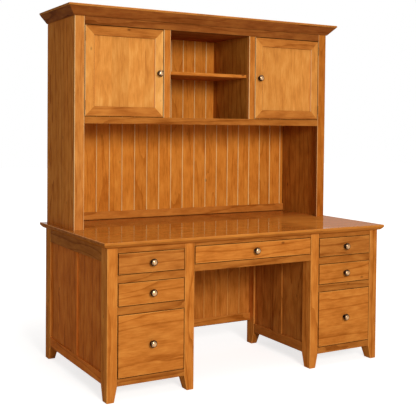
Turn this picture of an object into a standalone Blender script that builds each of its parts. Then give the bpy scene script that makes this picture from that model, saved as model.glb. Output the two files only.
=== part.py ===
"""Double-pedestal office desk with a hutch, modelled piece by piece as a joiner would build it.

Metres, +Z up, the front faces -Y. Places below are measured from the front face of the legs, on the
middle line of the desk, at floor level. One empty carries every piece and centres the desk on the
world origin.
"""

import math

import bmesh
import bpy

# Fits
GLUE_GAP = 0.0003
DRAWER_GAP = 0.003
DOOR_GAP = 0.003
EDGE_EASE = 0.002
EASE_ANGLE = math.radians(40.0)
MERGE_DISTANCE = 0.00005

# Desk top, with an upright lip over a full, undercut curve
DESK_HEIGHT = 0.752
TOP_WIDTH = 1.688
TOP_DEPTH = 0.914
TOP_THICKNESS = 0.028
TOP_SIDE_OVERHANG = 0.026
TOP_END_OVERHANG = 0.026
TOP_LIP_HEIGHT = 0.012
TOP_UNDERCUT_DEPTH = 0.017
TOP_UNDERCUT_CURVE = 1.4
TOP_UNDERCUT_STEPS = 5
TOP_ROUNDING = 0.003
TOP_ROUNDING_STEPS = 2

# Legs, whose feet taper on the two faces that look into the pedestal
LEG_WIDTH = 0.053
LEG_DEPTH = 0.072
FOOT_HEIGHT = 0.074
FOOT_WIDTH = 0.038
FOOT_DEPTH = 0.050

# Pedestals and their framed sides
PEDESTAL_DEPTH = 0.613
DRAWER_OPENING_WIDTH = 0.356
SIDE_THICKNESS = 0.020
SIDE_SETBACK = 0.002
SIDE_TOP_RAIL = 0.072
SIDE_BOTTOM_RAIL = 0.052
SIDE_STILE = 0.080
SIDE_PANEL_RECESS = 0.008
PEDESTAL_BACK_THICKNESS = 0.012
PEDESTAL_BACK_INSET = 0.012

# Front rails and the runners behind them
RAIL_THICKNESS = 0.022
TOP_RAIL = 0.026
DRAWER_RAIL = 0.0375
BOTTOM_RAIL = 0.034
UPPER_DRAWER_OPENING = 0.103
MIDDLE_DRAWER_OPENING = 0.1115
CENTRE_TOP_RAIL = 0.018
CENTRE_DRAWER_OPENING = 0.090
CENTRE_APRON = 0.034
RUNNER_WIDTH = 0.030
RUNNER_HEIGHT = 0.016
CLEAT_THICKNESS = 0.020
JOINT_LAP = 0.004

# Drawers
FRONT_THICKNESS = 0.020
BOX_WALL = 0.012
BOX_BOTTOM = 0.009
BOX_SIDE_GAP = 0.012
BOX_TOP_GAP = 0.014
BOX_REAR_GAP = 0.014

# Knobs, turned in one piece: a domed ball on a neck with a small flange
DRAWER_KNOB_RADIUS = 0.0180
DOOR_KNOB_RADIUS = 0.0180
KNOB_REACH_RATIO = 1.8417
KNOB_DOME_RATIO = 0.70
KNOB_NECK_RATIO = 0.36
KNOB_NECK_DROP_RATIO = 0.12
KNOB_FLANGE_RATIO = 0.56
KNOB_FLANGE_LENGTH = 0.003
KNOB_FLANGE_SHOULDER_RATIO = 1.6
KNOB_STEPS = 16
KNOB_DOME_POINTS = 7
KNOB_UNDERCUT_DEGREES = -48.0

# Beadboard
BEAD_PITCH = 0.080
BEAD_GROOVE_WIDTH = 0.005
BEAD_GROOVE_DEPTH = 0.0035
BEADBOARD_THICKNESS = 0.018
BASE_RAIL_HEIGHT = 0.046
BASE_RAIL_PROUD = 0.007

# Knee-hole back
MODESTY_BOTTOM = 0.138
MODESTY_INSET = 0.008

# Hutch
HUTCH_SIDE_INSET = 0.038
HUTCH_BACK_INSET = 0.008
HUTCH_DEPTH = 0.418
HUTCH_BOARD = 0.020
HUTCH_OPEN_HEIGHT = 0.549
HUTCH_STILE = 0.055
DOOR_RAIL = 0.036
DOOR_OPENING_HEIGHT = 0.473
HUTCH_TOP_RAIL = 0.040
CUBBY_WIDTH = 0.509
MULLION = 0.041
SHELF_THICKNESS = 0.0175
SHELF_HEIGHT = 0.236
SHELF_SETBACK = 0.010

# Crown: a sloped moulding under a thin lip, returned along both sides
CROWN_HEIGHT = 0.056
CROWN_LIP_HEIGHT = 0.011
CROWN_REACH = 0.048
CROWN_FOOT = 0.005
CROWN_LIP_STEP = 0.003
CROWN_CURVE = 1.15
CROWN_STEPS = 5

# Doors and hinges
DOOR_THICKNESS = 0.020
DOOR_MEMBER = 0.050
DOOR_PANEL_THICKNESS = 0.007
DOOR_PANEL_RECESS = 0.007
DOOR_REBATE = 0.010
DOOR_KNOB_INSET = 0.026
HINGE_LENGTH = 0.050
HINGE_INSET = 0.060
HINGE_BARREL_RADIUS = 0.003
HINGE_PROUD = 0.0005
HINGE_LEAF_THICKNESS = 0.001
HINGE_LEAF_DEPTH = 0.015
HINGE_SIDES = 12

# Worked out from the sizes above
BASE_HALF_WIDTH = TOP_WIDTH / 2 - TOP_SIDE_OVERHANG
BASE_DEPTH = TOP_DEPTH - 2 * TOP_END_OVERHANG
LEG_TOP = DESK_HEIGHT - TOP_THICKNESS - GLUE_GAP
OPENING_OUTER = BASE_HALF_WIDTH - LEG_WIDTH
OPENING_INNER = OPENING_OUTER - DRAWER_OPENING_WIDTH
KNEE_HALF_WIDTH = OPENING_INNER - LEG_WIDTH
SIDE_INNER_FACE = SIDE_SETBACK + SIDE_THICKNESS
PEDESTAL_BACK_FRONT = PEDESTAL_DEPTH - PEDESTAL_BACK_INSET - PEDESTAL_BACK_THICKNESS
MODESTY_BACK = PEDESTAL_DEPTH - MODESTY_INSET
MODESTY_FRONT = MODESTY_BACK - BEADBOARD_THICKNESS
HUTCH_HALF_WIDTH = TOP_WIDTH / 2 - HUTCH_SIDE_INSET
HUTCH_BACK = BASE_DEPTH + TOP_END_OVERHANG - HUTCH_BACK_INSET
HUTCH_FRONT = HUTCH_BACK - HUTCH_DEPTH
HUTCH_INNER_HALF = HUTCH_HALF_WIDTH - HUTCH_BOARD - GLUE_GAP
HUTCH_INSIDE_FRONT = HUTCH_FRONT + HUTCH_BOARD + GLUE_GAP
HUTCH_INSIDE_BACK = HUTCH_BACK - BEADBOARD_THICKNESS - GLUE_GAP
HUTCH_FOOT = DESK_HEIGHT + GLUE_GAP
DOOR_RAIL_BOTTOM = DESK_HEIGHT + HUTCH_OPEN_HEIGHT
DOOR_SILL = DOOR_RAIL_BOTTOM + DOOR_RAIL
DOOR_HEAD = DOOR_SILL + DOOR_OPENING_HEIGHT
CROWN_BOTTOM = DOOR_HEAD + HUTCH_TOP_RAIL
CROWN_TOP = CROWN_BOTTOM + CROWN_HEIGHT
CARCASS_TOP = CROWN_TOP - CROWN_LIP_HEIGHT - GLUE_GAP
CUBBY_HALF = CUBBY_WIDTH / 2
DOOR_INNER = CUBBY_HALF + MULLION
DOOR_OUTER = HUTCH_HALF_WIDTH - HUTCH_STILE
FRONT_REACH = max(TOP_END_OVERHANG, DRAWER_KNOB_RADIUS * KNOB_REACH_RATIO + GLUE_GAP)
MIDDLE_Y = (BASE_DEPTH + TOP_END_OVERHANG - FRONT_REACH) / 2

LEFT = -1
RIGHT = 1
SIDE_NAMES = {LEFT: "left", RIGHT: "right"}
HINGE_LEVELS = {"lower": -1, "upper": 1}


def clear_scene():
    """Empties the scene, so that the model stands alone in it."""
    for obj in list(bpy.data.objects):
        bpy.data.objects.remove(obj, do_unlink=True)


def make_collection(name):
    """A collection linked to the scene."""
    collection = bpy.data.collections.new(name)
    bpy.context.scene.collection.children.link(collection)
    return collection


clear_scene()
PARTS = make_collection("office_desk")
CUTTERS = make_collection("office_desk_cutters")


def finish(name, colour, roughness, metallic=0.0):
    """A plain Principled finish; the colour is linear red, green and blue."""
    material = bpy.data.materials.new(name)
    material.use_nodes = True
    shader = material.node_tree.nodes["Principled BSDF"]
    shader.inputs["Base Color"].default_value = (*colour, 1.0)
    shader.inputs["Roughness"].default_value = roughness
    shader.inputs["Metallic"].default_value = metallic
    return material


TOP_WOOD = finish("desk_top_wood", (0.37, 0.13, 0.025), 0.22)
LEG_WOOD = finish("leg_wood", (0.48, 0.18, 0.035), 0.38)
SIDE_WOOD = finish("side_frame_wood", (0.44, 0.17, 0.035), 0.40)
RAIL_WOOD = finish("rail_wood", (0.46, 0.17, 0.032), 0.38)
FRONT_WOOD = finish("drawer_front_wood", (0.53, 0.21, 0.045), 0.36)
BOX_WOOD = finish("drawer_box_wood", (0.58, 0.36, 0.16), 0.55)
HUTCH_WOOD = finish("hutch_wood", (0.46, 0.18, 0.036), 0.38)
BEAD_WOOD = finish("beadboard_wood", (0.45, 0.17, 0.033), 0.42)
DOOR_WOOD = finish("door_wood", (0.55, 0.22, 0.046), 0.36)
CROWN_WOOD = finish("crown_wood", (0.40, 0.14, 0.024), 0.36)
BRONZE = finish("aged_bronze", (0.26, 0.16, 0.09), 0.25, 1.0)
HINGE_METAL = finish("antique_hinge", (0.16, 0.11, 0.06), 0.42, 1.0)


def make_empty(name, location, parent=None):
    """An empty that carries a sub-assembly."""
    empty = bpy.data.objects.new(name, None)
    empty.location = location
    empty.parent = parent
    empty.empty_display_size = 0.05
    PARTS.objects.link(empty)
    return empty


DESK = make_empty("desk_middle", (0.0, -MIDDLE_Y, 0.0))


def box_mesh(name, size):
    """A box of the given size about its own middle."""
    mesh = bpy.data.meshes.new(name)
    form = bmesh.new()
    bmesh.ops.create_cube(form, size=1.0)
    bmesh.ops.scale(form, vec=size, verts=form.verts)
    form.to_mesh(mesh)
    form.free()
    return mesh


def place(name, mesh, material, location, parent=DESK):
    """Puts a mesh into the model as a named piece."""
    piece = bpy.data.objects.new(name, mesh)
    piece.location = location
    piece.parent = parent
    mesh.materials.append(material)
    PARTS.objects.link(piece)
    return piece


def ease(piece, width=EDGE_EASE, segments=2):
    """Rounds a piece's sharp edges."""
    bevel = piece.modifiers.new("eased_edges", "BEVEL")
    bevel.width = width
    bevel.segments = segments
    bevel.limit_method = "ANGLE"
    bevel.angle_limit = EASE_ANGLE
    return piece


def middle_and_size(x, y, z):
    """The middle and the size of a box given by its low and high places on each axis."""
    spans = [sorted(span) for span in (x, y, z)]
    middle = [(low + high) / 2 for low, high in spans]
    size = [high - low for low, high in spans]
    return middle, size


def board(name, x, y, z, material, parent=DESK, eased=True):
    """A flat board between low and high places on each axis."""
    middle, size = middle_and_size(x, y, z)
    piece = place(name, box_mesh(name, size), material, middle, parent)
    return ease(piece) if eased else piece


def tool_box(name, x, y, z, parent=DESK, collection=CUTTERS):
    """A box that cuts or adds to a piece and isn't a piece itself."""
    middle, size = middle_and_size(x, y, z)
    tool = bpy.data.objects.new(name, box_mesh(name, size))
    tool.location = middle
    tool.parent = parent
    tool.hide_render = True
    tool.display_type = "WIRE"
    collection.objects.link(tool)
    return tool


def combine(piece, tool, operation):
    """Cuts a piece with a tool, or joins the tool to it."""
    boolean = piece.modifiers.new(operation.lower() + "_" + tool.name, "BOOLEAN")
    boolean.operation = operation
    boolean.object = tool
    return piece


def join_boxes(name, boxes, material, parent=DESK):
    """One glued-up piece from boxes that lap into each other."""
    operands = bpy.data.collections.new(name + "_members")
    CUTTERS.children.link(operands)
    piece = board(name, *boxes[0], material, parent, eased=False)
    for number, spans in enumerate(boxes[1:], start=1):
        tool_box(f"{name}_member_{number}", *spans, parent, operands)
    union = piece.modifiers.new("glue_up", "BOOLEAN")
    union.operation = "UNION"
    union.operand_type = "COLLECTION"
    union.collection = operands
    return piece


def moulded_slab(name, rings, material):
    """A slab with a moulded edge: a rectangle drawn up through rings of (x span, y span, height)."""
    mesh = bpy.data.meshes.new(name)
    form = bmesh.new()
    bmesh.ops.create_grid(form, x_segments=1, y_segments=1, size=1.0)
    bmesh.ops.reverse_faces(form, faces=form.faces)
    verts = form.verts[:]
    cap = form.faces[0:]

    def fit(ring, corners):
        (x_low, x_high), (y_low, y_high), height = ring
        for vert in corners:
            vert.co.x = x_high if vert.co.x > (x_low + x_high) / 2 else x_low
            vert.co.y = y_high if vert.co.y > (y_low + y_high) / 2 else y_low
            vert.co.z = height

    centre_x = sum(rings[0][0]) / 2
    centre_y = sum(rings[0][1]) / 2
    bmesh.ops.translate(form, vec=(centre_x, centre_y, 0.0), verts=verts)
    fit(rings[0], verts)
    for ring in rings[1:]:
        cap = bmesh.ops.extrude_discrete_faces(form, faces=cap)["faces"]
        fit(ring, cap[0].verts)
    bmesh.ops.holes_fill(form, edges=form.edges)
    bmesh.ops.recalc_face_normals(form, faces=form.faces)
    form.to_mesh(mesh)
    form.free()
    return place(name, mesh, material, (0.0, 0.0, 0.0))


def outline_mesh(name, points, height):
    """A flat outline, filled and drawn up to a height, as a closed mesh."""
    curve = bpy.data.curves.new(name + "_outline", "CURVE")
    curve.dimensions = "2D"
    curve.fill_mode = "BOTH"
    curve.extrude = height / 2
    spline = curve.splines.new("POLY")
    spline.points.add(len(points) - 1)
    for point, (x, y) in zip(spline.points, points):
        point.co = (x, y, 0.0, 1.0)
    spline.use_cyclic_u = True
    drawn = bpy.data.objects.new(name + "_outline", curve)
    PARTS.objects.link(drawn)
    depsgraph = bpy.context.evaluated_depsgraph_get()
    mesh = bpy.data.meshes.new_from_object(drawn.evaluated_get(depsgraph))
    bpy.data.objects.remove(drawn, do_unlink=True)
    form = bmesh.new()
    form.from_mesh(mesh)
    bmesh.ops.remove_doubles(form, verts=form.verts, dist=MERGE_DISTANCE)
    bmesh.ops.recalc_face_normals(form, faces=form.faces)
    form.to_mesh(mesh)
    form.free()
    mesh.name = name
    return mesh


def build_desk_top():
    """The top, its edge an upright lip above a full, undercut curve."""
    underside = DESK_HEIGHT - TOP_THICKNESS
    undercut_height = TOP_THICKNESS - TOP_LIP_HEIGHT
    profile = []
    for step in range(TOP_UNDERCUT_STEPS + 1):
        run = step / TOP_UNDERCUT_STEPS
        rise = undercut_height * run ** TOP_UNDERCUT_CURVE
        profile.append((TOP_UNDERCUT_DEPTH * (1.0 - run), underside + rise))
    for step in range(TOP_ROUNDING_STEPS + 1):
        turn = math.radians(90.0 * step / TOP_ROUNDING_STEPS)
        drop = TOP_ROUNDING * (1.0 - math.sin(turn))
        profile.append((TOP_ROUNDING * (1.0 - math.cos(turn)), DESK_HEIGHT - drop))
    rings = []
    for inset, height in profile:
        half = TOP_WIDTH / 2 - inset
        span_y = (inset - TOP_END_OVERHANG, BASE_DEPTH + TOP_END_OVERHANG - inset)
        rings.append(((-half, half), span_y, height))
    moulded_slab("desk_top", rings, TOP_WOOD)


def build_leg(name, corner_x, corner_y, inward_x, inward_y):
    """A post with its outer corner at the given place; its foot tapers on the two inward faces."""
    mesh = box_mesh(name, (LEG_WIDTH, LEG_DEPTH, LEG_TOP))
    form = bmesh.new()
    form.from_mesh(mesh)
    middle = (inward_x * LEG_WIDTH / 2, inward_y * LEG_DEPTH / 2, LEG_TOP / 2)
    bmesh.ops.translate(form, vec=middle, verts=form.verts)
    everything = form.verts[:] + form.edges[:] + form.faces[:]
    bmesh.ops.bisect_plane(form, geom=everything, plane_co=(0, 0, FOOT_HEIGHT), plane_no=(0, 0, 1))
    for vert in form.verts:
        if vert.co.z < FOOT_HEIGHT / 2:
            if abs(vert.co.x) > LEG_WIDTH / 2:
                vert.co.x = inward_x * FOOT_WIDTH
            if abs(vert.co.y) > LEG_DEPTH / 2:
                vert.co.y = inward_y * FOOT_DEPTH
    form.to_mesh(mesh)
    form.free()
    ease(place(name, mesh, LEG_WOOD, (corner_x, corner_y, 0.0)))


def build_side_frame(name, face_x, inward, depth):
    """A framed side between two legs: rails and a middle stile in front of two sunk panels."""
    x = (face_x + inward * SIDE_SETBACK, face_x + inward * SIDE_INNER_FACE)
    y = (LEG_DEPTH + GLUE_GAP, depth - LEG_DEPTH - GLUE_GAP)
    piece = board(name, x, y, (FOOT_HEIGHT, LEG_TOP), SIDE_WOOD)
    middle_y = (y[0] + y[1]) / 2
    past = SIDE_PANEL_RECESS
    cut_x = (x[0] - inward * past, x[0] + inward * SIDE_PANEL_RECESS)
    cut_z = (FOOT_HEIGHT + SIDE_BOTTOM_RAIL, LEG_TOP - SIDE_TOP_RAIL)
    cuts = {
        "front": (y[0] - past, middle_y - SIDE_STILE / 2),
        "rear": (middle_y + SIDE_STILE / 2, y[1] + past),
    }
    for end, cut_y in cuts.items():
        combine(piece, tool_box(f"{name}_{end}_recess", cut_x, cut_y, cut_z), "DIFFERENCE")


def build_drawer_frame(name, x_span, rails, rear):
    """Front rails with runners behind them, tied together by two cleats and a cross rail at the rear.

    The rails are (low, high) heights from the top down. The first carries kickers, the others runners.
    """
    x_low, x_high = x_span[0] + GLUE_GAP, x_span[1] - GLUE_GAP
    rear_face = rear - GLUE_GAP
    boxes = [((x_low, x_high), (0.0, RAIL_THICKNESS), rail) for rail in rails]
    strips_y = (RAIL_THICKNESS - JOINT_LAP, rear_face)
    strips_x = ((x_low, x_low + RUNNER_WIDTH), (x_high - RUNNER_WIDTH, x_high))
    for low, high in rails:
        strip_height = min(RUNNER_HEIGHT, high - low)
        for strip_x in strips_x:
            boxes.append((strip_x, strips_y, (high - strip_height, high)))
    cleats_y = (rear_face - CLEAT_THICKNESS, rear_face)
    for strip_x in strips_x:
        boxes.append((strip_x, cleats_y, (rails[-1][0] + JOINT_LAP, rails[0][1])))
    boxes.append(((x_low, x_high), cleats_y, (rails[-1][0], rails[-1][1])))
    join_boxes(name, boxes, RAIL_WOOD)


def pedestal_rails():
    """The heights of a pedestal's four front rails, from the top down."""
    first = (LEG_TOP - TOP_RAIL, LEG_TOP)
    second_top = first[0] - UPPER_DRAWER_OPENING
    second = (second_top - DRAWER_RAIL, second_top)
    third_top = second[0] - MIDDLE_DRAWER_OPENING
    third = (third_top - DRAWER_RAIL, third_top)
    return [first, second, third, (FOOT_HEIGHT, FOOT_HEIGHT + BOTTOM_RAIL)]


def centre_rails():
    """The heights of the rail above and the apron below the centre drawer."""
    first = (LEG_TOP - CENTRE_TOP_RAIL, LEG_TOP)
    apron_top = first[0] - CENTRE_DRAWER_OPENING
    return [first, (apron_top - CENTRE_APRON, apron_top)]


def groove_places(half_width):
    """Where the grooves of a beadboard lie, evenly about its middle."""
    pairs = int((half_width - BEAD_GROOVE_WIDTH) / BEAD_PITCH + 0.5)
    return [BEAD_PITCH * (number + 0.5) for number in range(-pairs, pairs)]


def build_beadboard(name, half_width, back, bottom, top):
    """Boards with V grooves between them, and a plain rail along the foot."""
    front = back - BEADBOARD_THICKNESS
    outline = [(-half_width, back), (-half_width, front)]
    for groove in groove_places(half_width):
        outline.append((groove - BEAD_GROOVE_WIDTH / 2, front))
        outline.append((groove, front + BEAD_GROOVE_DEPTH))
        outline.append((groove + BEAD_GROOVE_WIDTH / 2, front))
    outline += [(half_width, front), (half_width, back)]
    mesh = outline_mesh(name, outline, top - bottom)
    piece = place(name, mesh, BEAD_WOOD, (0.0, 0.0, (bottom + top) / 2))
    rail_y = (front - BASE_RAIL_PROUD, front + 2 * BEAD_GROOVE_DEPTH)
    rail_z = (bottom, bottom + BASE_RAIL_HEIGHT)
    rail = tool_box(name + "_foot_rail", (-half_width, half_width), rail_y, rail_z)
    combine(piece, rail, "UNION")


def build_base():
    """Legs, framed sides, drawer frames, pedestal backs and the knee-hole back."""
    for side, word in SIDE_NAMES.items():
        outer_x = side * BASE_HALF_WIDTH
        inner_x = side * KNEE_HALF_WIDTH
        build_leg(f"{word}_front_outer_leg", outer_x, 0.0, -side, 1)
        build_leg(f"{word}_rear_outer_leg", outer_x, BASE_DEPTH, -side, -1)
        build_leg(f"{word}_front_knee_leg", inner_x, 0.0, side, 1)
        build_leg(f"{word}_rear_knee_leg", inner_x, PEDESTAL_DEPTH, side, -1)
        build_side_frame(f"{word}_end_panel", outer_x, -side, BASE_DEPTH)
        build_side_frame(f"{word}_knee_panel", inner_x, side, PEDESTAL_DEPTH)
        opening = sorted((side * OPENING_OUTER, side * OPENING_INNER))
        build_drawer_frame(f"{word}_drawer_frame", opening, pedestal_rails(), PEDESTAL_BACK_FRONT)
        back_x = (side * (BASE_HALF_WIDTH - SIDE_INNER_FACE - GLUE_GAP), side * (OPENING_INNER + GLUE_GAP))
        back_y = (PEDESTAL_BACK_FRONT, PEDESTAL_BACK_FRONT + PEDESTAL_BACK_THICKNESS)
        board(f"{word}_pedestal_back", back_x, back_y, (FOOT_HEIGHT, LEG_TOP), SIDE_WOOD)
    knee_span = (-KNEE_HALF_WIDTH, KNEE_HALF_WIDTH)
    build_drawer_frame("centre_drawer_frame", knee_span, centre_rails(), MODESTY_FRONT)
    build_beadboard("modesty_panel", KNEE_HALF_WIDTH - GLUE_GAP, MODESTY_BACK, MODESTY_BOTTOM, LEG_TOP)


def knob_profile(radius):
    """Half the outline of a knob, from the tip of its dome down to the middle of its flange."""
    dome_height = radius * KNOB_DOME_RATIO
    tip = radius * KNOB_REACH_RATIO
    middle = tip - dome_height
    points = []
    for step in range(KNOB_DOME_POINTS + 1):
        turn = math.radians(90.0 + (KNOB_UNDERCUT_DEGREES - 90.0) * step / KNOB_DOME_POINTS)
        points.append((radius * math.cos(turn), middle + dome_height * math.sin(turn)))
    points[0] = (0.0, tip)
    neck = radius * KNOB_NECK_RATIO
    flange = radius * KNOB_FLANGE_RATIO
    neck_top = points[-1][1] - dome_height * KNOB_NECK_DROP_RATIO
    shoulder = KNOB_FLANGE_LENGTH * KNOB_FLANGE_SHOULDER_RATIO
    points += [(neck, neck_top), (neck, shoulder), (flange, KNOB_FLANGE_LENGTH), (flange, 0.0), (0.0, 0.0)]
    return points


def build_knob(name, radius, location, parent):
    """A turned knob that stands out from the face behind it, towards the front."""
    mesh = bpy.data.meshes.new(name)
    form = bmesh.new()
    verts = [form.verts.new((across, 0.0, along)) for across, along in knob_profile(radius)]
    for start, end in zip(verts, verts[1:]):
        form.edges.new((start, end))
    form.to_mesh(mesh)
    form.free()
    knob = place(name, mesh, BRONZE, location, parent)
    knob.rotation_euler = (math.radians(90.0), 0.0, 0.0)
    turned = knob.modifiers.new("turned", "SCREW")
    turned.axis = "Z"
    turned.steps = KNOB_STEPS
    turned.render_steps = KNOB_STEPS
    turned.use_merge_vertices = True
    turned.merge_threshold = MERGE_DISTANCE
    turned.use_smooth_shade = True


def build_drawer_box(name, x_half, y, z, parent):
    """An open-topped box: a block whose top is inset and sunk to leave walls and a bottom."""
    middle, size = middle_and_size((-x_half, x_half), y, z)
    mesh = box_mesh(name, size)
    form = bmesh.new()
    form.from_mesh(mesh)
    top = [face for face in form.faces if face.normal.z > 0.9]
    bmesh.ops.inset_region(form, faces=top, thickness=BOX_WALL)
    sunk = bmesh.ops.extrude_discrete_faces(form, faces=top)
    floor = sunk["faces"][0].verts[:]
    bmesh.ops.translate(form, vec=(0.0, 0.0, BOX_BOTTOM - size[2]), verts=floor)
    bmesh.ops.recalc_face_normals(form, faces=form.faces)
    form.to_mesh(mesh)
    form.free()
    place(name, mesh, BOX_WOOD, middle, parent)


def build_drawer(name, x_span, z_span, rear):
    """A drawer: a slab front set flush in its opening, a box behind it and a knob."""
    middle_x = sum(x_span) / 2
    low, high = z_span
    middle_z = (low + high) / 2
    slide = make_empty(name + "_slide", (middle_x, 0.0, middle_z), DESK)
    half_width = (x_span[1] - x_span[0]) / 2
    half_height = (high - low) / 2
    front_x = half_width - DRAWER_GAP
    front_z = half_height - DRAWER_GAP
    board(f"{name}_front", (-front_x, front_x), (0.0, FRONT_THICKNESS), (-front_z, front_z), FRONT_WOOD, slide)
    box_y = (FRONT_THICKNESS + GLUE_GAP, rear - BOX_REAR_GAP)
    box_z = (GLUE_GAP - half_height, half_height - BOX_TOP_GAP)
    build_drawer_box(f"{name}_box", half_width - BOX_SIDE_GAP, box_y, box_z, slide)
    build_knob(f"{name}_knob", DRAWER_KNOB_RADIUS, (0.0, -GLUE_GAP, 0.0), slide)


def build_drawers():
    """Three drawers in each pedestal and a wide one over the knee-hole."""
    rails = pedestal_rails()
    rear = PEDESTAL_BACK_FRONT - CLEAT_THICKNESS
    for side, word in SIDE_NAMES.items():
        opening = sorted((side * OPENING_OUTER, side * OPENING_INNER))
        for level, above, below in zip(("upper", "middle", "file"), rails, rails[1:]):
            build_drawer(f"{word}_{level}_drawer", opening, (below[1], above[0]), rear)
    above, below = centre_rails()
    knee_span = (-KNEE_HALF_WIDTH, KNEE_HALF_WIDTH)
    build_drawer("centre_drawer", knee_span, (below[1], above[0]), MODESTY_FRONT - CLEAT_THICKNESS)


def build_face_frame():
    """The hutch's face frame: stiles, mullions and rails round two doors, a cubby and an open bay."""
    x = (-HUTCH_HALF_WIDTH, HUTCH_HALF_WIDTH)
    y = (HUTCH_FRONT, HUTCH_FRONT + HUTCH_BOARD)
    frame = board("hutch_face_frame", x, y, (HUTCH_FOOT, CARCASS_TOP), HUTCH_WOOD)
    past = (HUTCH_FRONT - HUTCH_BOARD, HUTCH_FRONT + 2 * HUTCH_BOARD)
    doors_z = (DOOR_SILL, DOOR_HEAD)
    openings = {
        "left_door": ((-DOOR_OUTER, -DOOR_INNER), doors_z),
        "cubby": ((-CUBBY_HALF, CUBBY_HALF), doors_z),
        "right_door": ((DOOR_INNER, DOOR_OUTER), doors_z),
        "open_bay": ((-DOOR_OUTER, DOOR_OUTER), (DESK_HEIGHT - HUTCH_BOARD, DOOR_RAIL_BOTTOM)),
    }
    for opening, (cut_x, cut_z) in openings.items():
        combine(frame, tool_box(f"face_frame_{opening}_opening", cut_x, past, cut_z), "DIFFERENCE")


def build_crown():
    """A lid with a sloped moulding round the front and sides, hollowed to sit over the carcass."""
    slope_height = CROWN_HEIGHT - CROWN_LIP_HEIGHT
    slope_reach = CROWN_REACH - CROWN_LIP_STEP
    profile = []
    for step in range(CROWN_STEPS + 1):
        rise = step / CROWN_STEPS
        reach = CROWN_FOOT + (slope_reach - CROWN_FOOT) * rise ** CROWN_CURVE
        profile.append((reach, CROWN_BOTTOM + slope_height * rise))
    profile.append((CROWN_REACH, CROWN_BOTTOM + slope_height + CROWN_LIP_STEP / 2))
    profile.append((CROWN_REACH, CROWN_TOP - CROWN_LIP_STEP / 2))
    profile.append((CROWN_REACH - CROWN_LIP_STEP / 2, CROWN_TOP))
    rings = []
    for reach, height in profile:
        half = HUTCH_HALF_WIDTH + reach
        rings.append(((-half, half), (HUTCH_FRONT - reach, HUTCH_BACK), height))
    crown = moulded_slab("hutch_crown", rings, CROWN_WOOD)
    hollow_half = HUTCH_HALF_WIDTH + GLUE_GAP
    hollow_y = (HUTCH_FRONT - GLUE_GAP, HUTCH_BACK + CROWN_REACH)
    hollow_z = (CROWN_BOTTOM - CROWN_HEIGHT, CARCASS_TOP + GLUE_GAP)
    hollow = tool_box("crown_hollow", (-hollow_half, hollow_half), hollow_y, hollow_z)
    combine(crown, hollow, "DIFFERENCE")


def build_hutch():
    """Sides, face frame, boards, partitions, shelf, beadboard back and crown."""
    side_y = (HUTCH_INSIDE_FRONT, HUTCH_BACK)
    inside_y = (HUTCH_INSIDE_FRONT, HUTCH_INSIDE_BACK)
    upright_z = (DOOR_SILL + GLUE_GAP, DOOR_HEAD - GLUE_GAP)
    for side, word in SIDE_NAMES.items():
        side_x = (side * (HUTCH_HALF_WIDTH - HUTCH_BOARD), side * HUTCH_HALF_WIDTH)
        board(f"hutch_{word}_side", side_x, side_y, (HUTCH_FOOT, CARCASS_TOP), HUTCH_WOOD)
        partition_x = (side * CUBBY_HALF, side * (CUBBY_HALF + HUTCH_BOARD))
        board(f"cubby_{word}_partition", partition_x, inside_y, upright_z, HUTCH_WOOD)
    inside_x = (-HUTCH_INNER_HALF, HUTCH_INNER_HALF)
    board("hutch_floor", inside_x, inside_y, (DOOR_SILL - HUTCH_BOARD, DOOR_SILL), HUTCH_WOOD)
    board("hutch_ceiling", inside_x, inside_y, (DOOR_HEAD, DOOR_HEAD + HUTCH_BOARD), HUTCH_WOOD)
    shelf_half = CUBBY_HALF - GLUE_GAP
    shelf_y = (HUTCH_INSIDE_FRONT + SHELF_SETBACK, HUTCH_INSIDE_BACK)
    shelf_z = (DOOR_SILL + SHELF_HEIGHT, DOOR_SILL + SHELF_HEIGHT + SHELF_THICKNESS)
    board("cubby_shelf", (-shelf_half, shelf_half), shelf_y, shelf_z, HUTCH_WOOD)
    build_beadboard("hutch_back", HUTCH_INNER_HALF, HUTCH_BACK, HUTCH_FOOT, CARCASS_TOP)
    build_face_frame()
    build_crown()


def hinge_span(direction):
    """The low and high ends of a hinge's leaves, measured from the middle of the door."""
    middle = direction * (DOOR_OPENING_HEIGHT / 2 - HINGE_INSET)
    half = HINGE_LENGTH / 2 - EDGE_EASE
    return middle - half, middle + half


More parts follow.
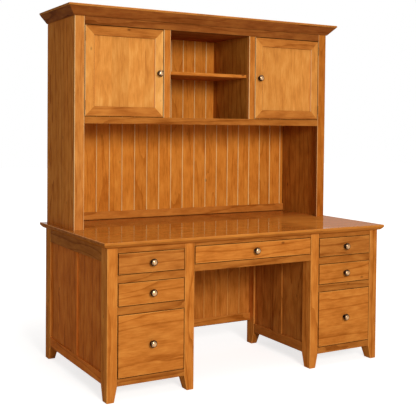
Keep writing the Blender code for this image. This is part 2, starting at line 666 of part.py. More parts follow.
def build_door(side):
    """An inset door: a frame with its hinge leaves, a sunk panel in its rebate and a knob."""
    word = SIDE_NAMES[side]
    pin_out = HINGE_BARREL_RADIUS + HINGE_PROUD
    axis_x = side * (DOOR_OUTER - DOOR_GAP / 2)
    axis_y = HUTCH_FRONT - pin_out
    middle_z = (DOOR_SILL + DOOR_HEAD) / 2
    swing = make_empty(f"{word}_door_hinge_axis", (axis_x, axis_y, middle_z), DESK)
    near = -side * DOOR_GAP / 2
    far = -side * (DOOR_OUTER - DOOR_INNER - 3 * DOOR_GAP / 2)
    half_height = DOOR_OPENING_HEIGHT / 2 - DOOR_GAP
    front = pin_out
    frame_y = (front, front + DOOR_THICKNESS)
    frame = board(f"{word}_door_frame", (near, far), frame_y, (-half_height, half_height), DOOR_WOOD, swing)
    inner_x = (near - side * DOOR_MEMBER, far + side * DOOR_MEMBER)
    inner_half = half_height - DOOR_MEMBER
    through_y = (front - DOOR_THICKNESS, front + 2 * DOOR_THICKNESS)
    sight = tool_box(f"{word}_door_sight", inner_x, through_y, (-inner_half, inner_half), swing)
    combine(frame, sight, "DIFFERENCE")
    rebate_x = (inner_x[0] + side * DOOR_REBATE, inner_x[1] - side * DOOR_REBATE)
    rebate_half = inner_half + DOOR_REBATE
    rebate_y = (front + DOOR_PANEL_RECESS, front + 2 * DOOR_THICKNESS)
    rebate = tool_box(f"{word}_door_rebate", rebate_x, rebate_y, (-rebate_half, rebate_half), swing)
    combine(frame, rebate, "DIFFERENCE")
    leaf_x = (near - side * JOINT_LAP, near + side * (DOOR_GAP - 2 * GLUE_GAP - HINGE_LEAF_THICKNESS))
    leaf_y = (front + EDGE_EASE, front + HINGE_LEAF_DEPTH)
    for level, direction in HINGE_LEVELS.items():
        leaf = tool_box(f"{word}_{level}_door_leaf", leaf_x, leaf_y, hinge_span(direction), swing)
        combine(frame, leaf, "UNION")
    panel_x = (rebate_x[0] - side * GLUE_GAP, rebate_x[1] + side * GLUE_GAP)
    panel_front = front + DOOR_PANEL_RECESS + GLUE_GAP
    panel_y = (panel_front, panel_front + DOOR_PANEL_THICKNESS)
    panel_half = rebate_half - GLUE_GAP
    board(f"{word}_door_panel", panel_x, panel_y, (-panel_half, panel_half), DOOR_WOOD, swing)
    knob_place = (far + side * DOOR_KNOB_INSET, front - GLUE_GAP, 0.0)
    build_knob(f"{word}_door_knob", DOOR_KNOB_RADIUS, knob_place, swing)


def build_hinges(side):
    """Two butt hinges: a leaf let in along the stile and a barrel standing proud on the door's axis."""
    word = SIDE_NAMES[side]
    axis_x = side * (DOOR_OUTER - DOOR_GAP / 2)
    axis_y = HUTCH_FRONT - HINGE_BARREL_RADIUS - HINGE_PROUD
    leaf_x = (side * (DOOR_OUTER - GLUE_GAP), side * (DOOR_OUTER - GLUE_GAP - HINGE_LEAF_THICKNESS))
    leaf_y = (axis_y, HUTCH_FRONT + HINGE_LEAF_DEPTH)
    middle_z = (DOOR_SILL + DOOR_HEAD) / 2
    for level, direction in HINGE_LEVELS.items():
        name = f"{word}_{level}_hinge"
        low, high = (middle_z + height for height in hinge_span(direction))
        mesh = bpy.data.meshes.new(name)
        form = bmesh.new()
        bmesh.ops.create_cone(
            form,
            cap_ends=True,
            segments=HINGE_SIDES,
            radius1=HINGE_BARREL_RADIUS,
            radius2=HINGE_BARREL_RADIUS,
            depth=HINGE_LENGTH,
        )
        form.to_mesh(mesh)
        form.free()
        barrel = place(name, mesh, HINGE_METAL, (axis_x, axis_y, (low + high) / 2))
        combine(barrel, tool_box(name + "_leaf", leaf_x, leaf_y, (low, high)), "UNION")


def main():
    """Builds the desk from the floor up."""
    build_desk_top()
    build_base()
    build_drawers()
    build_hutch()
    for side in SIDE_NAMES:
        build_door(side)
        build_hinges(side)


main()
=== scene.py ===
"""Looks of an office desk with a hutch: honey-stained alder under lacquer, bronze knobs, brass hinges.

Each board, knob and hinge is modelled where its CAD node stands, in metres, with the front towards -Y.
"""

import logging
import math
import random
from dataclasses import dataclass, replace
from enum import Enum
from functools import lru_cache
from typing import Any, Callable, Optional, Sequence, Union

import bmesh
import bpy
from mathutils import Matrix, Vector


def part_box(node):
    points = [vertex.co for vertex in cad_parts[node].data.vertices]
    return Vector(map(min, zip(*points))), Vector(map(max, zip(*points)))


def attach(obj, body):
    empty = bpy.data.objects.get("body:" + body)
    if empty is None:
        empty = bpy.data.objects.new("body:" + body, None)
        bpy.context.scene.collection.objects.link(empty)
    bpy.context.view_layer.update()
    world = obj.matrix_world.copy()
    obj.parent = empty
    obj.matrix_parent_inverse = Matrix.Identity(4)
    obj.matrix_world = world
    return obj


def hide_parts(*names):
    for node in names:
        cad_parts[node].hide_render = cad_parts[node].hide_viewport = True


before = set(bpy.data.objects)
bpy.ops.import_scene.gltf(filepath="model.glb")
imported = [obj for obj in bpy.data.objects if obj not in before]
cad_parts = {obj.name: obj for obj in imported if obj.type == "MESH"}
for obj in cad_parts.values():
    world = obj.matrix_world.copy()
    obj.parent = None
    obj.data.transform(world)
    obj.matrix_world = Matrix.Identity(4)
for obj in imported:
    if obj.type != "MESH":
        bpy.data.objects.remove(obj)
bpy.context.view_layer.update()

LOG = logging.getLogger("office_desk")
CARCASS = "carcass"
SIDES = ("left", "right")
JOINT_LINE = 0.0003
OPENING_GAP = 0.003
# Width of the rounding on edges that are out of sight
HIDDEN_EASE = 0.001
# A rounding's facets are narrower than this share of its width
FACET = 0.75
SMOOTH_ANGLE = math.radians(40.0)
STAVE_WIDTH = 0.095
WIDEST_STICK = 0.16
# How far from the heart, and how far along, a board may lie in its log
LOG_RADIUS = 0.09
LOG_REACH = 3.0
# Scale of Blender's wave texture that makes rings one metre wide
WAVE_TURN = math.pi / 10.0
# Least part of a unit direction along an axis, from one that only leans that way to one that lies along it
LEANING = 0.2
ASIDE = 0.5
FACING = 0.9
ALONG = 0.95
FLAT = 0.99
# Marks that a piece's faces or points carry to its finish
SHIFT_ATTRIBUTE = "board_shift"
# Pales rounded edges: partly rubbing, partly painted highlight on edges turned towards the lamps
WORN_AND_HIGHLIT_ATTRIBUTE = "worn_edge"
STAVE_ATTRIBUTE = "glued_up"
# Painted shade: darkens faces in gaps, in grooves and under overhangs
GAP_SHADE_ATTRIBUTE = "pooled_stain"
POLISH_ATTRIBUTE = "polished_face"
# A knob's dome is rubbed bright and its rim darkened: partly patina, partly painted shade
DOME_AND_RIM_ATTRIBUTE = "touched"
Piece = bpy.types.Object
Material = bpy.types.Material
Tree = bpy.types.NodeTree
Node = bpy.types.Node
Socket = bpy.types.NodeSocket
Source = Union[Node, Socket]
Span = tuple[float, float]
Triple = tuple[float, float, float]
Cut = tuple[Vector, Vector]


class GrainAxis(Enum):
    """The way a board's fibres run, as the order that puts that axis first."""

    X = "XYZ"
    Y = "YXZ"
    Z = "ZXY"

    @property
    def index(self) -> int:
        """The axis as a number."""
        return "XYZ".index(self.name)


def linear_colour(code: str) -> tuple[float, float, float, float]:
    """Turns an sRGB hex colour to linear light.

    Args:
        code: Six hex digits after a hash.

    Returns:
        Red, green, blue and an alpha of one.
    """
    values = []
    for start in (1, 3, 5):
        part = int(code[start:start + 2], 16) / 255.0
        values.append(part / 12.92 if part <= 0.04045 else ((part + 0.055) / 1.055) ** 2.4)
    return values[0], values[1], values[2], 1.0


def feed(node: Node, inputs: dict[Any, Any]) -> None:
    """Sets or links a node's inputs.

    Args:
        node: The node.
        inputs: Values, sockets or nodes by the input's name or number; a node gives its first output.
    """
    for key, value in inputs.items():
        source = value.outputs[0] if isinstance(value, Node) else value
        if isinstance(source, Socket):
            node.id_data.links.new(source, node.inputs[key])
        else:
            node.inputs[key].default_value = source


def add_node(tree: Tree, kind: str, inputs: Optional[dict[Any, Any]] = None, **settings: Any) -> Node:
    """Adds a node to a tree.

    Args:
        tree: The tree that takes the node.
        kind: Blender's name for the node's type, without ShaderNode before it.
        inputs: What goes into the node, as feed takes it.
        settings: The node's own settings.

    Returns:
        The node.
    """
    node = tree.nodes.new(f"ShaderNode{kind}")
    for name, value in settings.items():
        setattr(node, name, value)
    feed(node, inputs or {})
    return node


@dataclass(frozen=True)
class LacqueredWood:
    """A sawn, stained and lacquered wood, cut out of a solid of rings, fibres and small knots.

    Widths and spacings are in metres, and tilts in degrees. The rings are drawn about six times wider than
    in the living wood, and the fibres as much, because finer ones don't show at the distance of the camera.
    A stretch says how many times longer than wide a thing is along the fibres, and layers how fine it is.
    """

    name: str
    dark: str
    middle: str
    light: str
    worn: str
    # The knots' colour, which the painted shade in gaps also takes
    knot: str
    roughness: float
    coat: float
    coat_roughness: float
    roughness_spread: Span = (-0.06, 0.08)
    polish: float = 0.0
    dulled: float = 0.0
    # Painted reflection: how far the colour pales round the hand rest placed below
    palm_painted_reflection: float = 0.0
    hand_rest: Triple = (0.84, -0.20, 0.75)
    hand_reach: Span = (0.40, 0.56)
    relief: float = 0.0004
    relief_strength: float = 0.10
    layer_fade: float = 0.55
    ring_depth: float = 0.18
    ring_width: float = 0.045
    ring_squeeze: float = 0.16
    ring_tilt: Triple = (0.0, 12.0, 8.0)
    ring_wander: float = 5.0
    ring_layers: float = 3.0
    ring_layer_scale: float = 1.2
    late_wood_start: float = 0.76
    early_wood_share: float = 0.2
    fibre_width: float = 0.0065
    fibre_stretch: float = 10.0
    fibre_layers: float = 3.0
    fibre_share: float = 0.34
    cloud_width: float = 0.045
    cloud_stretch: float = 2.5
    cloud_layers: float = 6.0
    cloud_share: float = 0.58
    knot_spacing: float = 0.14
    knot_stretch: float = 1.7
    knot_rim: Span = (0.015, 0.06)
    knot_depth: float = 0.7
    bend_stretch: float = 5.5
    bend_reach: float = 0.48
    bend_rings: float = 1.4
    tone_stops: Triple = (0.26, 0.47, 0.67)
    tone_spread: float = 0.05
    stave_jump: Triple = (3.0, 0.06, 0.0)
    rub_clouds: Span = (0.3, 0.7)
    least_rub: float = 0.7

    @lru_cache(maxsize=None)
    def dress(self, axis: GrainAxis) -> Material:
        """Makes the finish for boards whose fibres run along one axis.

        Args:
            axis: The way of the fibres.

        Returns:
            The material.
        """
        material = bpy.data.materials.new(f"{self.name}_along_{axis.name.lower()}")
        material.use_nodes = True
        tree = material.node_tree
        place, chance = self.stave_place(tree, axis)
        fibre = self.streaks(tree, place, self.fibre_width, self.fibre_stretch, self.fibre_layers)
        cloud = self.streaks(tree, place, self.cloud_width, self.cloud_stretch, self.cloud_layers)
        knots = self.knots(tree, place, self.knot_stretch)
        figure = self.figure(tree, place, fibre, cloud)
        least, most = (self.roughness + spread for spread in self.roughness_spread)
        rough = add_node(tree, "MapRange", {"Value": fibre, "To Min": least, "To Max": most})
        relief = {"Height": fibre, "Strength": self.relief_strength, "Distance": self.relief}
        feed(
            tree.nodes["Principled BSDF"],
            {
                "Base Color": self.colour(tree, chance, knots, figure, cloud),
                "Roughness": rough,
                "Normal": add_node(tree, "Bump", relief),
                "Coat Weight": self.gloss(tree) if self.polish else self.coat,
                "Coat Roughness": self.coat_roughness,
                "Specular IOR Level": 0.0,
            },
        )
        return material

    def gloss(self, tree: Tree) -> Source:
        """Polishes the marked faces, less so where the writing hand has rubbed them dull.

        Args:
            tree: The material's tree.

        Returns:
            The weight of the coat.
        """
        kept = self.near_hand_rest(tree, self.dulled, self.polish)
        polished = add_node(tree, "Attribute", attribute_name=POLISH_ATTRIBUTE).outputs["Fac"]
        return add_node(tree, "MapRange", {"Value": polished, "To Min": self.coat, "To Max": kept})

    def near_hand_rest(self, tree: Tree, near: float, far: float) -> Source:
        """Fades between two values round the place where the writing hand rests.

        Args:
            tree: The material's tree.
            near: The value under the hand.
            far: The value out of its reach.

        Returns:
            The value at each point.
        """
        here = add_node(tree, "TexCoord").outputs["Object"]
        away = add_node(tree, "VectorMath", {0: here, 1: self.hand_rest}, operation="DISTANCE")
        start, end = self.hand_reach
        fade = {"From Min": start, "From Max": end, "To Min": near, "To Max": far}
        return add_node(tree, "MapRange", {"Value": away.outputs["Value"], **fade})

    def stave_place(self, tree: Tree, axis: GrainAxis) -> tuple[Source, Source]:
        """Finds a point's place in the log that its stave was sawn from, the fibres' way first.

        A board too wide for one stick is glued up from staves, each out of another part of the log.

        Args:
            tree: The material's tree.
            axis: The way of the fibres.

        Returns:
            The place, and a chance value that is the same all over one stave.
        """
        here = add_node(tree, "TexCoord").outputs["Object"]
        shift = add_node(tree, "Attribute", attribute_name=SHIFT_ATTRIBUTE).outputs["Vector"]
        glued = add_node(tree, "Attribute", attribute_name=STAVE_ATTRIBUTE).outputs["Fac"]
        moved = add_node(tree, "VectorMath", {0: here, 1: shift}, operation="ADD")
        apart = add_node(tree, "SeparateXYZ", {"Vector": moved})
        ordered = dict(zip("XYZ", (apart.outputs[letter] for letter in axis.value)))
        place = add_node(tree, "CombineXYZ", ordered)
        across = (0.0, 1.0 / STAVE_WIDTH, 1.0 / STAVE_WIDTH)
        row = add_node(tree, "VectorMath", {0: place, 1: across}, operation="MULTIPLY")
        whole = add_node(tree, "VectorMath", {0: row}, operation="FLOOR")
        stave = add_node(tree, "VectorMath", {0: whole, "Scale": glued}, operation="SCALE")
        seed = add_node(tree, "VectorMath", {0: stave, 1: shift}, operation="ADD")
        chance = add_node(tree, "TexWhiteNoise", {"Vector": seed})
        thrown = {0: chance.outputs["Color"], 1: self.stave_jump}
        jump = add_node(tree, "VectorMath", thrown, operation="MULTIPLY")
        sawn = add_node(tree, "VectorMath", {0: place, 1: jump}, operation="ADD")
        return sawn, chance.outputs["Value"]

    def streaks(self, tree: Tree, place: Source, width: float, stretch: float, layers: float) -> Source:
        """Makes soft streaks along the fibres.

        Args:
            tree: The material's tree.
            place: The place in the log.
            width: How wide a streak is.
            stretch: How many times longer than wide it is.
            layers: How many finer layers it has.

        Returns:
            The streaks, about a half.
        """
        scale = (1.0 / (width * stretch), 1.0 / width, 1.0 / width)
        drawn = add_node(tree, "Mapping", {"Vector": place, "Scale": scale})
        noise = {"Vector": drawn, "Scale": 1.0, "Detail": layers, "Roughness": self.layer_fade}
        return add_node(tree, "TexNoise", noise).outputs["Fac"]

    def knots(self, tree: Tree, place: Source, stretch: float) -> Source:
        """Scatters knots through the log, drawn out along the fibres.

        Args:
            tree: The material's tree.
            place: The place in the log.
            stretch: How many times longer than wide a knot's surroundings are.

        Returns:
            The distance to the nearest knot, as a share of their spacing.
        """
        cell = 1.0 / self.knot_spacing
        at = add_node(tree, "Mapping", {"Vector": place, "Scale": (cell / stretch, cell, cell)})
        return add_node(tree, "TexVoronoi", {"Vector": at, "Scale": 1.0}).outputs["Distance"]

    def figure(self, tree: Tree, place: Source, fibre: Source, cloud: Source) -> Source:
        """Mixes growth rings that bend round old branches, soft clouds and fibres into the board's figure.

        Args:
            tree: The material's tree.
            place: The place in the log.
            fibre: The fine fibres.
            cloud: The soft clouds.

        Returns:
            The figure, from dark at zero to light at one.
        """
        tilt = tuple(math.radians(angle) for angle in self.ring_tilt)
        squeeze = (self.ring_squeeze, 1.0, 1.0)
        tilted = add_node(tree, "Mapping", {"Vector": place, "Scale": squeeze, "Rotation": tilt})
        branches = self.knots(tree, place, self.bend_stretch)
        bend = {"From Max": self.bend_reach, "To Min": self.bend_rings * math.tau, "To Max": 0.0}
        bent = add_node(tree, "MapRange", {"Value": branches, **bend}, interpolation_type="SMOOTHSTEP")
        rings = add_node(
            tree,
            "TexWave",
            {
                "Vector": tilted,
                "Scale": WAVE_TURN / self.ring_width,
                "Distortion": self.ring_wander,
                "Detail": self.ring_layers,
                "Detail Scale": self.ring_layer_scale,
                "Detail Roughness": self.layer_fade,
                "Phase Offset": bent,
            },
            wave_type="RINGS",
            rings_direction="X",
            wave_profile="SAW",
        )
        early = self.ring_depth * self.early_wood_share
        growth = {"From Min": self.late_wood_start, "To Min": early, "To Max": -self.ring_depth}
        late_wood = add_node(tree, "MapRange", {"Value": rings.outputs["Fac"], **growth})
        clouds = {0: cloud, 1: self.cloud_share, 2: late_wood}
        clouded = add_node(tree, "Math", clouds, operation="MULTIPLY_ADD")
        fibres = {0: fibre, 1: self.fibre_share, 2: clouded}
        return add_node(tree, "Math", fibres, operation="MULTIPLY_ADD")

    def colour(self, tree: Tree, chance: Source, knots: Source, figure: Source, cloud: Source) -> Source:
        """Colours the figure, with each stave's own tone, knots, painted shade in gaps, and edges paled by
        rubbing and as painted highlight.

        Args:
            tree: The material's tree.
            chance: A chance value for each stave.
            knots: The distance to the nearest knot.
            figure: The board's figure.
            cloud: The soft clouds, which break up the rubbed edges.

        Returns:
            The colour.
        """
        ramp = add_node(tree, "ValToRGB", {"Fac": figure})
        stops = ramp.color_ramp.elements
        stops[0].position, stops[0].color = self.tone_stops[0], linear_colour(self.dark)
        stops[1].position, stops[1].color = self.tone_stops[2], linear_colour(self.light)
        halfway = stops.new(self.tone_stops[1])
        halfway.color = linear_colour(self.middle)
        tones = {"Value": chance, "To Min": 1.0 - self.tone_spread, "To Max": 1.0 + self.tone_spread}
        tone = add_node(tree, "MapRange", tones)
        toned = add_node(tree, "HueSaturation", {"Value": tone, "Color": ramp})
        core, rim = self.knot_rim
        depth = {"From Min": core, "From Max": rim, "To Min": self.knot_depth, "To Max": 0.0}
        knot = add_node(tree, "MapRange", {"Value": knots, **depth})
        # Painted shade: faces marked as lying in gaps are darkened to the knots' colour
        pooled = add_node(tree, "Attribute", attribute_name=GAP_SHADE_ATTRIBUTE).outputs["Fac"]
        darkest = add_node(tree, "Math", {0: knot, 1: pooled}, operation="MAXIMUM")
        stained = {0: darkest, 6: toned, 7: linear_colour(self.knot)}
        knots_and_gap_shade = add_node(tree, "Mix", stained, data_type="RGBA").outputs[2]
        # Edges paled towards the edge colour: partly rubbing, partly painted highlight
        rubbed = add_node(tree, "Attribute", attribute_name=WORN_AND_HIGHLIT_ATTRIBUTE).outputs["Fac"]
        least, most = self.rub_clouds
        rub = {"From Min": least, "From Max": most, "To Min": self.least_rub}
        uneven = add_node(tree, "MapRange", {"Value": cloud, **rub})
        worn = add_node(tree, "Math", {0: rubbed, 1: uneven}, operation="MULTIPLY")
        # Painted reflection: the colour pales round the hand rest
        if self.palm_painted_reflection:
            palm = self.near_hand_rest(tree, self.palm_painted_reflection, 0.0)
            worn = add_node(tree, "Math", {0: worn, 1: palm}, operation="MAXIMUM")
        bared = {0: worn, 6: knots_and_gap_shade, 7: linear_colour(self.worn)}
        return add_node(tree, "Mix", bared, data_type="RGBA").outputs[2]


@dataclass(frozen=True)
class TurnedMetal:
    """A turned metal, dark with age in its recesses and rubbed brighter where hands touch it; a knob's
    darkening towards its rim is partly painted shade.

    Its tool marks are given as a number to the metre, and the other sizes in metres. The marks are drawn
    several times coarser than a lathe leaves them, because finer ones don't show.
    """

    name: str
    bright: str
    dull: str
    rim: str
    roughness: float
    roughness_spread: Span = (0.08, -0.06)
    tarnish_size: float = 0.006
    tarnish_layers: float = 3.0
    dome_and_rim_share: float = 0.7
    tone_stops: Span = (0.52, 1.0)
    tool_marks: float = 1400.0
    mark_layers: float = 1.0
    mark_depth: float = 0.0002
    mark_strength: float = 0.05

    @lru_cache(maxsize=None)
    def dress(self) -> Material:
        """Makes the finish.

        Returns:
            The material.
        """
        material = bpy.data.materials.new(self.name)
        material.use_nodes = True
        tree = material.node_tree
        here = add_node(tree, "TexCoord").outputs["Object"]
        tarnish = {"Vector": here, "Scale": 1.0 / self.tarnish_size, "Detail": self.tarnish_layers}
        cloud = add_node(tree, "TexNoise", tarnish).outputs["Fac"]
        # Bright on a knob's dome and dark towards its rim: partly patina, partly painted shade
        touched = add_node(tree, "Attribute", attribute_name=DOME_AND_RIM_ATTRIBUTE).outputs["Fac"]
        hands = {0: touched, 1: self.dome_and_rim_share, 2: cloud}
        rubbed = add_node(tree, "Math", hands, operation="MULTIPLY_ADD")
        ramp = add_node(tree, "ValToRGB", {"Fac": rubbed})
        for stop, place, code in zip(ramp.color_ramp.elements, self.tone_stops, (self.dull, self.bright)):
            stop.position = place
            stop.color = linear_colour(code)
        least, most = (self.roughness + spread for spread in self.roughness_spread)
        rough = add_node(tree, "MapRange", {"Value": cloud, "To Min": least, "To Max": most})
        turning = {"Vector": here, "Scale": self.tool_marks, "Detail": self.mark_layers}
        marks = add_node(tree, "TexNoise", turning).outputs["Fac"]
        relief = {"Height": marks, "Strength": self.mark_strength, "Distance": self.mark_depth}
        feed(
            tree.nodes["Principled BSDF"],
            {
                "Base Color": ramp,
                "Roughness": rough,
                "Normal": add_node(tree, "Bump", relief),
                "Metallic": 1.0,
                "Specular Tint": linear_colour(self.rim),
            },
        )
        return material


# Alder, stained honey and sprayed with satin lacquer: warm, softly clouded, with a low sheen
SATIN_ALDER = LacqueredWood(
    name="honey_alder_satin_lacquer",
    dark="#A75A1B",
    middle="#C8762D",
    light="#DC8C3C",
    worn="#F2AA56",
    knot="#54280C",
    roughness=0.40,
    coat=0.025,
    coat_roughness=0.22,
)
# The hutch's uprights, pale along their edges round the openings: partly rubbed through to the bare wood,
# partly painted highlight
FRAME_ALDER = replace(SATIN_ALDER, name="rubbed_alder_satin_lacquer", worn="#F6C88A", ring_depth=0.10)
# The left upright is the lighter stick of the pair, and the right one the browner
LEFT_ALDER = replace(
    FRAME_ALDER, name="light_rubbed_alder_satin_lacquer", dark="#AE6324", middle="#D0823A", light="#E5994B"
)
RIGHT_ALDER = replace(
    FRAME_ALDER, name="deep_rubbed_alder_satin_lacquer", dark="#9C5114", middle="#BB6A22", light="#CE7E2E"
)
# The hutch's left side, a lighter and more amber copy than the frame: painted light that lifts the side out
# of its own shadow
AMBER_ALDER = replace(
    SATIN_ALDER, name="amber_alder_satin_lacquer", dark="#B3601E", middle="#D47D2F", light="#E69441"
)
# A browner copy for rails and the knee panels: painted shade, for the dimmer sheen of cross-grained rails,
# the shadow under the desk top's overhang and the shade of the knee hole
RAIL_ALDER = replace(
    SATIN_ALDER, name="brown_alder_satin_lacquer", dark="#8E4B16", middle="#AE6526", light="#C47A33"
)
# A redder copy for the end panels: painted shade, for the redder cast that they take in their own shadow
RUSSET_ALDER = replace(
    SATIN_ALDER, name="russet_alder_satin_lacquer", dark="#AE571A", middle="#D07027", light="#E38736"
)
# Door rails and upper drawers: a browner copy between the frame's rails and its uprights, painted shade for
# the upper drawers under the desk top and for the dimmer sheen of the cross-grained rails
DOOR_ALDER = replace(
    SATIN_ALDER, name="door_alder_satin_lacquer", dark="#98521B", middle="#BA6E2C", light="#CF8339"
)
# The rail under the crown, the crown and the hutch's floor and ceiling: the darkest copy, brown rather than
# orange, painted shade where the crown and the openings' tops throw shadow
HEART_ALDER = replace(
    SATIN_ALDER, name="heart_alder_satin_lacquer", dark="#763B10", middle="#925020", light="#AA662A"
)
# Painted shade for the boards that stand in the hutch's shade: a darker copy, brown with a green cast beside
# the red light in there
SHADE_ALDER = replace(
    SATIN_ALDER, name="shaded_alder_satin_lacquer", dark="#8C5017", middle="#AC6B25", light="#C28032"
)
# Plain-sawn boards for backs: the common honey tone with little figure
PLAIN_ALDER = replace(SATIN_ALDER, name="plain_alder_satin_lacquer", ring_depth=0.10)
# Beadboards between heart and sap: a shade lighter than the frame round them; their pale edge colour paints
# the highlight on each groove's lit chamfer
BOARD_ALDER = replace(
    SATIN_ALDER,
    name="beadboard_alder_satin_lacquer",
    dark="#BC671D",
    middle="#DE8730",
    light="#F09E41",
    worn="#FFDB96",
    ring_depth=0.12,
)
# Door boards in a lighter, more golden copy than the rest: painted light, for the doors that stand brighter
# than the drawers below
PALE_ALDER = replace(
    SATIN_ALDER,
    name="pale_alder_satin_lacquer",
    dark="#C07430",
    middle="#DB8E40",
    light="#EAA656",
    worn="#F6C88A",
    ring_depth=0.06,
)
# The palest copy, for the stile that takes the left knob: painted light, as that stile stands brightest
SAP_ALDER = replace(
    PALE_ALDER, name="sap_alder_satin_lacquer", dark="#D48A42", middle="#EEA654", light="#F8BC70"
)
# The same alder rubbed out to a gloss on the writing surface: it mirrors what stands on it. Round the hand
# rest at its right front end the coat is dulled, and the colour is paled as a painted reflection of the white
# room.
GLOSS_ALDER = LacqueredWood(
    name="honey_alder_gloss_lacquer",
    dark="#924D15",
    middle="#AE6323",
    light="#C0762F",
    worn="#E8933C",
    knot="#54280C",
    roughness=0.30,
    coat=0.025,
    coat_roughness=0.05,
    polish=0.75,
    dulled=0.25,
    palm_painted_reflection=0.32,
    tone_spread=0.03,
)
# Sealed birch for drawer boxes and runners: pale, nearly plain, dry to the touch
SEALED_BIRCH = LacqueredWood(
    name="birch_thin_sealer",
    dark="#C49A63",
    middle="#D9B580",
    light="#E8CB9C",
    worn="#F0DDB8",
    knot="#8A6236",
    roughness=0.55,
    coat=0.08,
    coat_roughness=0.4,
    knot_spacing=0.30,
)
# Bronze turned, polished and aged, a soft mirror with a white glint on the dome; its brown rim is partly
# patina and partly painted shade
AGED_BRONZE = TurnedMetal(
    "polished_aged_bronze", bright="#C09870", dull="#22120A", rim="#4A3020", roughness=0.15
)
# Brass darkened with age: brown, mottled with a dull gleam
AGED_BRASS = TurnedMetal("darkened_brass", bright="#B88C50", dull="#8A6236", rim="#9A7848", roughness=0.42)


@dataclass
class Shaping:
    """Edit mode on one piece, with its parts picked by their place."""

    piece: Piece

    def __enter__(self) -> "Shaping":
        """Opens the piece for editing."""
        pick(self.piece)
        bpy.ops.object.mode_set(mode="EDIT")
        return self

    def __exit__(self, *problem: Any) -> None:
        """Closes the piece."""
        bpy.ops.object.mode_set(mode="OBJECT")

    def choose(self, kind: str, test: Callable[[Any], bool]) -> int:
        """Selects the parts of one kind that pass a test, and nothing else.

        Args:
            kind: VERT, EDGE or FACE.
            test: Says whether a part is selected.

        Returns:
            How many parts are selected.
        """
        bpy.ops.mesh.select_mode(type=kind)
        bpy.ops.mesh.select_all(action="DESELECT")
        form = bmesh.from_edit_mesh(self.piece.data)
        parts = {"VERT": form.verts, "EDGE": form.edges, "FACE": form.faces}[kind]
        chosen = [part for part in parts if test(part)]
        for part in chosen:
            part.select_set(True)
        form.select_flush_mode()
        bmesh.update_edit_mesh(self.piece.data)
        return len(chosen)

    def cut(self, point: Vector, normal: Vector, clear: bool) -> None:
        """Cuts the whole piece with a plane.

        Args:
            point: A point on the plane.
            normal: The plane's direction.
            clear: Whether what lies on the normal's side is taken off.
        """
        bpy.ops.mesh.select_all(action="SELECT")
        bpy.ops.mesh.bisect(
            plane_co=point, plane_no=normal, use_fill=clear, clear_outer=clear, clear_inner=False
        )

    def level_cut(self, height: float) -> None:
        """Cuts the whole piece through at a height, and takes nothing off."""
        self.cut(Vector((0.0, 0.0, height)), Vector((0.0, 0.0, 1.0)), clear=False)

    def push(self, way: Vector) -> None:
        """Extrudes what is selected along a direction."""
        bpy.ops.mesh.extrude_region_move(TRANSFORM_OT_translate={"value": way, "orient_type": "GLOBAL"})


def pick(*chosen: Piece) -> None:
    """Selects only these pieces, with the first one active."""
    bpy.ops.object.select_all(action="DESELECT")
    for piece in chosen:
        piece.select_set(True)
    bpy.context.view_layer.objects.active = chosen[0]


def settle(name: str) -> Piece:
    """Names the active piece and applies its place, turn and size to its mesh.

    Args:
        name: The piece's name.

    Returns:
        The piece.
    """
    piece = bpy.context.active_object
    piece.name = name
    piece.data.name = name
    bpy.ops.object.transform_apply(location=True, rotation=True, scale=True)
    return piece


def spans(node: str) -> tuple[Span, Span, Span]:
    """Finds where a CAD node starts and ends along each axis.

    Args:
        node: The node's name.

    Returns:
        Its ends from left to right, from front to back and from the floor up.
    """
    low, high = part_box(node)
    return (low.x, high.x), (low.y, high.y), (low.z, high.z)


def start_block(name: str, x: Span, y: Span, z: Span) -> Piece:
    """Adds a cube at a board's size and place, with both applied to its mesh.

    Args:
        name: The piece's name.
        x: Where it starts and ends from left to right.
        y: The same from front to back.
        z: The same from the floor up.

    Returns:
        The piece.
    """
    low, high = (Vector(corner) for corner in zip(x, y, z))
    bpy.ops.object.select_all(action="DESELECT")
    bpy.ops.mesh.primitive_cube_add(size=1.0, location=(low + high) / 2)
    bpy.context.active_object.scale = high - low
    return settle(name)


def ease_edges(piece: Piece, width: float, segments: int, test: Callable[[bmesh.types.BMEdge], bool]) -> None:
    """Rounds the edges that pass a test.

    Args:
        piece: The piece.
        width: How far the rounding reaches.
        segments: How many facets it has.
        test: Says whether an edge is rounded.
    """
    with Shaping(piece) as shaping:
        if shaping.choose("EDGE", test):
            bpy.ops.mesh.bevel(offset=width, segments=segments, affect="EDGES", clamp_overlap=True)


def smooth(piece: Piece) -> None:
    """Shades roundings softly and keeps broad faces flat."""
    pick(piece)
    bpy.ops.object.shade_smooth_by_angle(angle=SMOOTH_ANGLE)
    weighted = piece.modifiers.new("flat_faces", "WEIGHTED_NORMAL")
    weighted.keep_sharp = True
    bpy.ops.object.modifier_apply(modifier=weighted.name)


